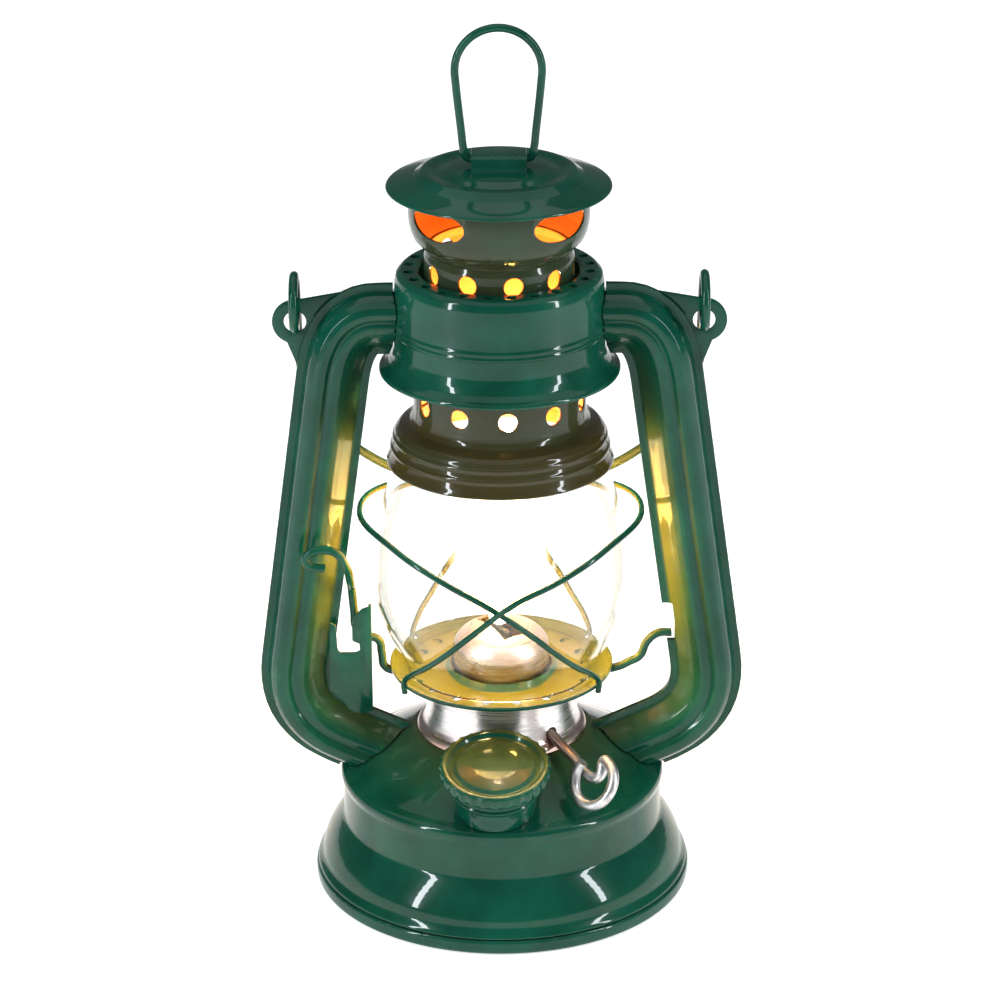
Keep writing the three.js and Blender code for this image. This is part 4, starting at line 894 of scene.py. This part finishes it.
strap = bmesh.new()
strap_points = [(-7.2, 227.3), (-5.6, 227.35), (-5.2, 228.4), (-5.0, 230.4), (-4.2, 231.2), (4.2, 231.2),
                (5.0, 230.4), (5.2, 228.4),
                (5.6, 227.35), (7.2, 227.3)]
row = [strap.verts.new(Vector((-8.0, y, z)) * MM) for y, z in strap_points]
for a, b in zip(row, row[1:]):
    strap.edges.new((a, b))
STRAP_STEPS = 16
for _ in range(STRAP_STEPS):
    grown = bmesh.ops.extrude_edge_only(strap,
                                        edges=[e for e in strap.edges if all(v in row for v in e.verts)])
    row = [g for g in grown["geom"] if isinstance(g, bmesh.types.BMVert)]
    bmesh.ops.translate(strap, verts=row, vec=(MM, 0, 0))
bmesh.ops.recalc_face_normals(strap, faces=strap.faces)
for vert in strap.verts:
    if vert.co.z > 230.0 * MM:
        vert.co.z += 0.12 * MM * math.cos(vert.co.x / MM * math.pi)
bmesh.ops.solidify(strap, geom=strap.faces[:], thickness=0.7 * MM)
add_piece("ring_strap", worked(strap, lip=0.15), "chimney", enamel, ["hood_bridge"])

RING_BAR, RING_EYE, RING_TOP_R = 229.2, 255.6, 12.5
half_ring = [(0.4, RING_BAR), (7.7, RING_BAR), (9.6, 230.1), (10.2, 232.6), (10.7, 237.2), (12.3, 252.6),
             *arc(5, 0.0, 0.42 * math.pi,
                  lambda a: (RING_TOP_R * math.cos(a), RING_EYE + RING_TOP_R * math.sin(a)))]
ring_points = [Vector((x, 0, z)) for x, z in half_ring] + [Vector((0, 0, RING_EYE + RING_TOP_R))]
ring_points += [Vector((-x, 0, z)) for x, z in reversed(half_ring)]
wire("top_ring", ring_points, 1.2, "hanging_ring", wire_enamel, ["hanging_ring"])

# %% [markdown]
# The collar drum joins the two air tubes. It has a rolled foot, two fine beads round its middle and a
# flat top with a ring of small holes.

# %% Collar drum
DRUM_TOP, DRUM_HOLES, DRUM_HOLE_R, DRUM_HOLE_RING = 196.1, 24, 1.5, 26.6
drum_line = [(34.9, 165.2), (35.5, 165.0), (35.7, 165.6), (35.5, 166.3), (34.2, 167.0), (32.8, 168.2),
             (31.8, 169.9), (31.1, 172.4),
             (31.0, 177.6), (31.35, 178.2), (31.35, 178.7), (31.0, 179.3), (31.35, 179.9), (31.35, 180.4),
             (31.0, 181.0),
             (30.8, 188.0), (30.7, 192.8), (30.2, 194.8), (28.8, 196.0), (27.6, 196.1), (24.2, 196.1),
             (23.5, 195.5)]
drum_holes = [(DRUM_HOLE_R, DRUM_HOLE_R, 6.0, Matrix.Rotation((i + 0.5) * 2 * math.pi / DRUM_HOLES, 4, "Z")
               @ Matrix.Translation((0, -DRUM_HOLE_RING * MM, DRUM_TOP * MM))) for i in range(DRUM_HOLES)]
drum = worked(pressing(drum_line, corner=0.4), cutters(*drum_holes), lip=LIP)
add_piece("collar_drum_band", drum, "root", enamel, ["collar_drum"])

# %% [markdown]
# Each air tube is two pressed halves, joined along their flanges. One half is a section drawn flat, then
# extruded row by row along the tube's line. The outer flange is crimped, so it swells a little between
# its crimps. The other three halves are mirror copies of the first.

# %% Air tubes
TUBE_TOP, TUBE_FOOT = Vector((46.8, 180.5)), Vector((64.3, 54.0))
TUBE_START, TOP_BEND = Vector((26.9, 180.5)), Vector((35.8, 180.5))
BEND_FROM_Z, BEND_TO_Z, FOOT_BEND, FOOT_REACH = 162.5, 71.0, 17, 44
HALF_WIDE, FLANGE_FROM = 10.8, 9.2
CRIMP_PITCH, CRIMP_SWELL = 9.0, 0.28
LEAN = (TUBE_FOOT.x - TUBE_TOP.x) / (TUBE_TOP.y - TUBE_FOOT.y)
FOOT_SLOPE = math.radians(25)


def lean_at(z):
    return Vector((TUBE_TOP.x + (TUBE_TOP.y - z) * LEAN, z))


def inward(d):
    return TUBE_FOOT - Vector((math.cos(FOOT_SLOPE), math.sin(FOOT_SLOPE))) * d


def bend(start, corner, stop, steps=12):
    first, last = corner + (start - corner) / 3, corner + (stop - corner) / 3
    return [p.to_2d() for p in interpolate_bezier(start.to_3d(), first.to_3d(), last.to_3d(), stop.to_3d(),
                                                  steps)]


def straight(start, stop, spacing=1.6):
    steps = max(1, round((stop - start).length / spacing))
    return [start.lerp(stop, i / steps) for i in range(steps)]


tube_line = straight(TUBE_START, TOP_BEND)
tube_line += bend(TOP_BEND, TUBE_TOP, lean_at(BEND_FROM_Z))[:-1]
tube_line += straight(lean_at(BEND_FROM_Z), lean_at(BEND_TO_Z))
tube_line += bend(lean_at(BEND_TO_Z), TUBE_FOOT, inward(FOOT_BEND))[:-1]
tube_line += straight(inward(FOOT_BEND), inward(FOOT_REACH)) + [inward(FOOT_REACH)]

half_section = [(HALF_WIDE, 0.95), (8.6, 0.95), (8.2, 3.0), (7.3, 5.9), (5.8, 7.9), (3.9, 8.6), (2.3, 8.2),
                (1.4, 7.4), (0.9, 7.15),
                (0.3, 7.45), (-0.9, 7.65), (-2.3, 7.2), (-3.9, 6.2), (-5.5, 4.6), (-7.0, 2.7), (-8.1, 1.3),
                (-8.9, 0.95),
                (-HALF_WIDE, 0.95)]


def tube_half():
    bm = bmesh.new()
    row = [bm.verts.new((out * MM, -depth * MM, 0)) for out, depth in half_section]
    for a, b in zip(row, row[1:]):
        bm.edges.new((a, b))
    bmesh.ops.bevel(bm, geom=row[1:-1], offset=0.35 * MM, offset_type="OFFSET", segments=2, profile=0.5,
                    affect="VERTICES", clamp_overlap=True, material=-1)
    row = bm.verts[:]
    shape = [vert.co.copy() for vert in row]
    gone = 0.0
    for i, spot in enumerate(tube_line):
        ahead, behind = tube_line[min(i + 1, len(tube_line) - 1)], tube_line[max(i - 1, 0)]
        aim = (ahead - behind).normalized()
        gone += (spot - behind).length
        if i:
            edges = [edge for edge in bm.edges if edge.verts[0] in row and edge.verts[1] in row]
            order = {vert: k for k, vert in enumerate(row)}
            grown = bmesh.ops.extrude_edge_only(bm, edges=edges)
            fresh = [g for g in grown["geom"] if isinstance(g, bmesh.types.BMVert)]
            lined = [None] * len(row)
            for vert in fresh:
                old = next(e.other_vert(vert) for e in vert.link_edges if e.other_vert(vert) in order)
                lined[order[old]] = vert
            row = lined
        swell = CRIMP_SWELL * (0.5 - 0.5 * math.cos(gone * 2 * math.pi / CRIMP_PITCH)) ** 0.4
        for vert, at in zip(row, shape):
            out = at.x / MM
            lift = swell if out > FLANGE_FROM else 0.0
            vert.co = Vector((spot.x - aim.y * out, at.y / MM - lift, spot.y + aim.x * out)) * MM
    bmesh.ops.recalc_face_normals(bm, faces=bm.faces)
    middle = max(bm.faces, key=lambda face: -face.calc_center_median().y)
    if middle.normal.y > 0:
        bmesh.ops.reverse_faces(bm, faces=bm.faces)
    return bm


def joined(*parts):
    """Puts several meshes into one, and frees them."""
    whole = bmesh.new()
    for part in parts:
        mesh = as_mesh("part", part)
        whole.from_mesh(mesh)
        bpy.data.meshes.remove(mesh)
    return whole


drum_room = turned_solid([(0, 160), (35.4, 160), (36.0, 165.5), (33.0, 168.4), (31.4, 172.4), (31.2, 178),
                          (31.65, 179), (31.3, 181),
                          (31.1, 192), (30.5, 195), (29, 200), (0, 200)], corner=0)
tank_room = turned_solid([(0, 2), (49.9, 2), (49.9, 33), (49.8, 35.9), (47.5, 37.1), (46.4, 37.6),
                          (27.4, 49.1), (27.2, 49.2),
                          (27.2, 68.0), (0, 68.0)], corner=0)
half_mesh = as_mesh("tube_half", worked(worked(tube_half(), drum_room, wall=WALL), tank_room))
print("tube half:", len(half_mesh.polygons), "faces")

# %% [markdown]
# The back halves carry the ears that the bail's eyes go through. Each ear is a flat plate: an outline, a
# face in it, and a thickness. A slot through the right tube lets the lift wire's end slide.

# %% Ears and the four halves
def flat_plate(outline, y, thick):
    """A plate in the XZ plane from an outline of (x, z), with its front at y."""
    bm = bmesh.new()
    corners = [bm.verts.new(Vector((x, y, z)) * MM) for x, z in outline]
    face = bm.faces.new(corners)
    grown = bmesh.ops.extrude_face_region(bm, geom=[face])
    bmesh.ops.translate(bm, verts=[g for g in grown["geom"] if isinstance(g, bmesh.types.BMVert)],
                        vec=(0, thick * MM, 0))
    bmesh.ops.recalc_face_normals(bm, faces=bm.faces)
    return bm


EAR, EAR_R, EAR_HOLE_R = Vector((60.0, 179.5)), 6.8, 3.3
ear_outline = [(46.3, 186.2), (46.0, 188.7), *arc(18, 0.52 * math.pi, -0.38 * math.pi,
               lambda a: (EAR.x + EAR_R * math.cos(a), EAR.y + EAR_R * math.sin(a))), (59.6, 165.6),
               (57.4, 165.2), (55.1, 174.9),
               (51.6, 181.2)]
ear_place = Matrix.Translation(Vector((EAR.x, 0.5, EAR.y)) * MM) @ Matrix.Rotation(math.pi / 2, 4, "X")
ear_hole = cutters((EAR_HOLE_R, EAR_HOLE_R, 8, ear_place))
ear_mesh = as_mesh("ear", worked(flat_plate(ear_outline, 0.15, 0.8), ear_hole, lip=LIP))
LIFT_SLOT = Matrix.Translation(Vector((49.9, 0, 83.0)) * MM)


def own_copy(mesh, flip_x=False, flip_y=False):
    bm = bmesh.new()
    bm.from_mesh(mesh)
    if flip_x or flip_y:
        bmesh.ops.transform(bm, verts=bm.verts,
                            matrix=Matrix.Diagonal((-1 if flip_x else 1, -1 if flip_y else 1, 1, 1)))
        if flip_x != flip_y:
            bmesh.ops.reverse_faces(bm, faces=bm.faces)
    return bm


for side in ("right", "left"):
    for face in ("front", "back"):
        body = own_copy(half_mesh, side == "left", face == "back")
        if face == "back":
            body = joined(body, own_copy(ear_mesh, side == "left"))
        if side == "right":
            body = worked(body, box_cutter(LIFT_SLOT, 5.2, 3.6, 12.4))
        add_piece(f"air_tube_{side}_{face}", body, "root", enamel, [f"{side}_tube_{face}"],
                  sharp=32)

# %% [markdown]
# The lift wire runs under the globe's plate and carries it. Its right end slides in the right tube. Its
# left end rises to a finger loop past a bracket: a plate with a notch that holds the globe up, and a
# folded return edge along its inner side. The wire's ends are set out from the two tubes.

# %% Lift wire and bracket
LIFT_Z, UNDER_R, LIFT_R, END_RISE = 66.6, 27.4, 1.3, 12.4
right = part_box("lift_wire")[1].x / MM - 0.15
left = -(right - 2.0) + 5.6
rise_and_run = [
    (right, 0, END_RISE), (right - 4, 0, 12.2), (right - 7.4, 0, 9.4), (right - 9.6, 0, 4.6),
    (right - 13, 0, 2.6),
    (PLATE_R + 2.8, 0, 1.2), (UNDER_R + 2.4, 0, 0),
    *arc(12, math.pi / 2, -math.pi / 2, lambda a: (UNDER_R * math.sin(a), UNDER_R * math.cos(a), 0)),
    (-UNDER_R - 3.2, 0, 0), (-PLATE_R - 2.2, 0, 1.4), (-PLATE_R - 3.2, 0, 6), (-PLATE_R - 4.2, 0, 10.4),
    (left + 3, 0, 12), (left + 0.4, 0, 14), (left - 0.4, 0, 20), (left - 0.9, -1, 27), (left - 1.2, -6, 33),
    (left - 2, -10.6, 39), (left - 5.2, -12.6, 44.6), (left - 10.4, -12.8, 45.4), (left - 14, -12.8, 43),
    (left - 12.8, -12.8, 40.4), (left - 8.4, -12.6, 39.6)]
lift_line = [(x, y, LIFT_Z + rise) for x, y, rise in rise_and_run]
wire("globe_lifter", lift_line, LIFT_R, "globe_carrier", wire_enamel, ["lift_wire"])
print("lift wire reaches", round(right, 2), "on the right")

edge_x = -(lean_at(LIFT_Z + END_RISE).x - HALF_WIDE / math.cos(math.atan(LEAN)))
notched = [(-1.8, 18), (0, 17.2), (0.4, 9.6), (0.7, 8.5), (1.4, 8), (5.8, 8), (6.8, 8.4), (7.2, 9.2),
           (7.0, 11), (5.6, 11.6), (4.9, 12),
           (4.9, 17.6), (6, 20.4), (8, 22.4), (10.8, 23.4), (10.8, -11.6), (6, -12.2), (3.6, -11),
           (1.6, -7.6), (-0.4, -5.2),
           (-2.2, -4.6)]
folded_edge = [(9.9, -11.6), (10.8, -11.6), (10.8, 23.4), (9.9, 23.4)]
latch_plate = flat_plate([(edge_x + x, LIFT_Z + z) for x, z in notched], -4.4, 1.0)
folded = flat_plate([(edge_x + x, LIFT_Z + z) for x, z in folded_edge], -4.2, 2.0)
add_piece("latch_bracket", worked(joined(latch_plate, folded), lip=0.18), "root", enamel,
          ["lift_bracket"])

# %% [markdown]
# The bail hangs from the ears and rests behind the tubes. Its ends are wound into eyes.

# %% Bail
BAIL_X, BAIL_EYE, BAIL_DROP, BAIL_R, EYE_GAP, BAIL_BACK = 60.0, 7.8, 31.0, 1.4, 0.25, 46.6
bail_eye_z = EAR.y - EAR_HOLE_R + EYE_GAP + BAIL_R + BAIL_EYE
BAIL_LEAN = (math.asin(BAIL_BACK / math.hypot(BAIL_EYE, BAIL_DROP + BAIL_X))
             - math.atan2(BAIL_EYE, BAIL_DROP + BAIL_X))


def bail_arm(across, down):
    return Vector((across, BAIL_EYE * math.cos(BAIL_LEAN) + down * math.sin(BAIL_LEAN),
                   bail_eye_z + BAIL_EYE * math.sin(BAIL_LEAN) - down * math.cos(BAIL_LEAN)))


bail_eye = arc(12, 1.72 * math.pi + BAIL_LEAN, BAIL_LEAN,
               lambda a: Vector((BAIL_X, BAIL_EYE * math.cos(a), bail_eye_z + BAIL_EYE * math.sin(a))))
bail_right = [*bail_eye, bail_arm(BAIL_X, 5), bail_arm(BAIL_X, BAIL_DROP * 0.75)]
bow = arc(16, 0.06, math.pi - 0.06, lambda a: bail_arm(BAIL_X * math.cos(a),
                                                       BAIL_DROP + BAIL_X * math.sin(a)))
bail_left = [Vector((-p.x, p.y, p.z)) for p in reversed(bail_right)]
wire("carrying_bail", [*bail_right, *bow, *bail_left], BAIL_R, "bail", wire_enamel, ["bail"])

# %% [markdown]
# What is left is hidden or nearly so: the brass of the burner, its wheels, and the cap's seal. Those stay
# as they came and only take a finish.

# %% Pieces kept from the frame
KEPT = {"cap_gasket": (seal, "seal")}
for name in ("throat_ring", "burner_base", "wick_tube", "air_gallery", "wick_wheel_1", "wick_wheel_2",
             "wick_wheel_3"):
    KEPT[name] = (brass, "brass")
for name, (finish, slot) in KEPT.items():
    bpy.data.objects[name].data.materials.clear()
    bpy.data.objects[name].data.materials.append(finish)
print("kept:", ", ".join(KEPT))

# %% [markdown]
# The flame stands on the wick and moves with it. It is a soft shape on a thin stem, widest about half-way
# up, and a little flattened. Its light fades towards its edge, where the eye looks through less of it.
# A larger, fainter shell stands round it for the glow. Both let the lamps' light pass.

# %% Flame
def make_flame(name, colour, strength, softness, density):
    """A glow on a black, matt shader, whose cover fades towards the shape's edge."""
    material, tree, shader, where = new_finish(name, (0, 0, 0), 1.0, 0.0, Specular_IOR_Level=0.0,
                                               Emission_Strength=strength)
    place = use_group(tree, place_on_lamp, Vector=where, Low=0.082, High=0.135)
    lick = node(tree, "TexNoise", {"Vector": where, "Scale": 45.0, "Detail": 1.0})
    facing = node(tree, "LayerWeight", {"Blend": 0.5}).outputs["Facing"]
    middle = maths(tree, "POWER", maths(tree, "SUBTRACT", 1.0, facing, clamp=True), softness)
    cover = maths(tree, "MULTIPLY", middle,
                  between(tree, lick.outputs[0], 0.2, 0.8, 0.85 * density, density), clamp=True)
    tree.links.new(cover, shader.inputs["Alpha"])
    tree.links.new(mixed(tree, place.outputs["Rise"], (*colour, 1), (1.0, 0.80, 0.45, 1)),
                   shader.inputs["Emission Color"])
    let_light_pass(tree, shader)
    return material


FLAME_FOOT, STEM, WIDEST = 82.8, 3.0, 0.52


def flame_shell(name, height, width, depth_share, material):
    """A spun glow with a stem that fits the dome's slot, so that it can sink with the wick."""
    stem = STEM / depth_share
    half = [(0, 0), (stem * 0.8, 0.8), (stem, 4.8), (width * 0.30, height * 0.22),
            (width * 0.45, height * 0.36),
            (width * 0.5, height * WIDEST), (width * 0.40, height * 0.80), (width * 0.18, height * 0.96),
            (0, height)]
    bm = bmesh.new()
    section(bm, soft_line([(r, FLAME_FOOT + rise) for r, rise in half], 6))
    spin_skin(bm, 64)
    bmesh.ops.transform(bm, verts=bm.verts,
                        matrix=WICK_TURN @ Matrix.Translation(Vector((WICK_SIDE, 0, 0)) * MM)
                        @ Matrix.Diagonal((depth_share, 1, 1, 1)))
    add_piece(name, bm, "wick", material)


flame_shell("flame", 50.0, 25.0, 0.8, make_flame("flame_core", (1.0, 0.88, 0.62), 11.0, 0.5, 1.0))
flame_shell("flame_halo", 56.0, 36.0, 0.95, make_flame("flame_halo", (1.0, 0.72, 0.34), 5.0, 2.4, 0.55))

# %% [markdown]
# The room is plain: a large pale floor with a little glow of its own, and tall soft lamps to the left and
# the right with a sun above. The sky is dim as a light, and bright only where it is seen directly or
# through glass. Three small warm lamps stand in for the flame's light: one in the flame, which lights the
# plate and the tubes, and one each in the cap and the bowl, which light the vents from inside.

# %% Floor and light
floor_bm = bmesh.new()
bmesh.ops.create_grid(floor_bm, x_segments=2, y_segments=2, size=4.0)
floor = as_object("floor", floor_bm)
floor.data.transform(Matrix.Translation((0, 0, -0.0004)))
FLOOR_GLOW = 0.62
floor_finish, tree, shader, where = new_finish("pale_floor", (0.86, 0.86, 0.86), 0.7)
grain = node(tree, "TexNoise", {"Vector": where, "Scale": 30.0, "Detail": 3.0})
tree.links.new(mixed(tree, grain.outputs[0], (0.85, 0.85, 0.855, 1), (0.88, 0.88, 0.88, 1)),
               shader.inputs["Base Color"])
shader.inputs["Emission Color"].default_value = (1, 1, 1, 1)
shader.inputs["Emission Strength"].default_value = FLOOR_GLOW
floor.data.materials.append(floor_finish)


COOL, AIM = (0.90, 0.95, 1.0), Vector((0, 0, 0.12))
TALL_SOFTBOX = {"shape": "RECTANGLE", "size": 0.07, "size_y": 0.8}
SKY_LIGHT, SKY_SEEN = 0.16, 0.95


def lamp(name, kind, place, energy, colour, **settings):
    data = bpy.data.lights.new(name, kind)
    data.energy = energy
    data.color = colour
    for key, value in settings.items():
        setattr(data, key, value)
    made = bpy.data.objects.new(name, data)
    bpy.context.scene.collection.objects.link(made)
    made.location = place
    made.rotation_euler = (AIM - made.location).to_track_quat("-Z", "Y").to_euler()


lamp("left_softbox", "AREA", (-0.75, -0.55, 0.50), 8.0, COOL, **TALL_SOFTBOX)
lamp("right_softbox", "AREA", (0.80, -0.40, 0.50), 7.0, COOL, **TALL_SOFTBOX)
lamp("overhead_light", "SUN", (0.0, 0.1, 1.5), 1.2, (1.0, 1.0, 1.0), angle=1.4)
lamp("flame_lamp", "POINT", (0, 0, 0.102), 0.72, (1.0, 0.56, 0.10), shadow_soft_size=0.015)
lamp("cap_lamp", "POINT", (0, 0, 0.158), 0.34, (1.0, 0.70, 0.42), shadow_soft_size=0.004)
lamp("bowl_lamp", "POINT", (0, 0, 0.212), 0.030, (1.0, 0.34, 0.06), shadow_soft_size=0.004)

world = bpy.data.worlds.new("studio")
world.use_nodes = True
sky = world.node_tree.nodes["Background"]
sky.inputs[0].default_value = (0.93, 0.96, 1.0, 1)
seen = node(world.node_tree, "LightPath")
direct = maths(world.node_tree, "MAXIMUM", seen.outputs["Is Camera Ray"],
               seen.outputs["Is Transmission Ray"])
world.node_tree.links.new(between(world.node_tree, direct, 0.0, 1.0, SKY_LIGHT, SKY_SEEN), sky.inputs[1])
bpy.context.scene.world = world
bpy.context.scene.view_settings.view_transform = "Standard"
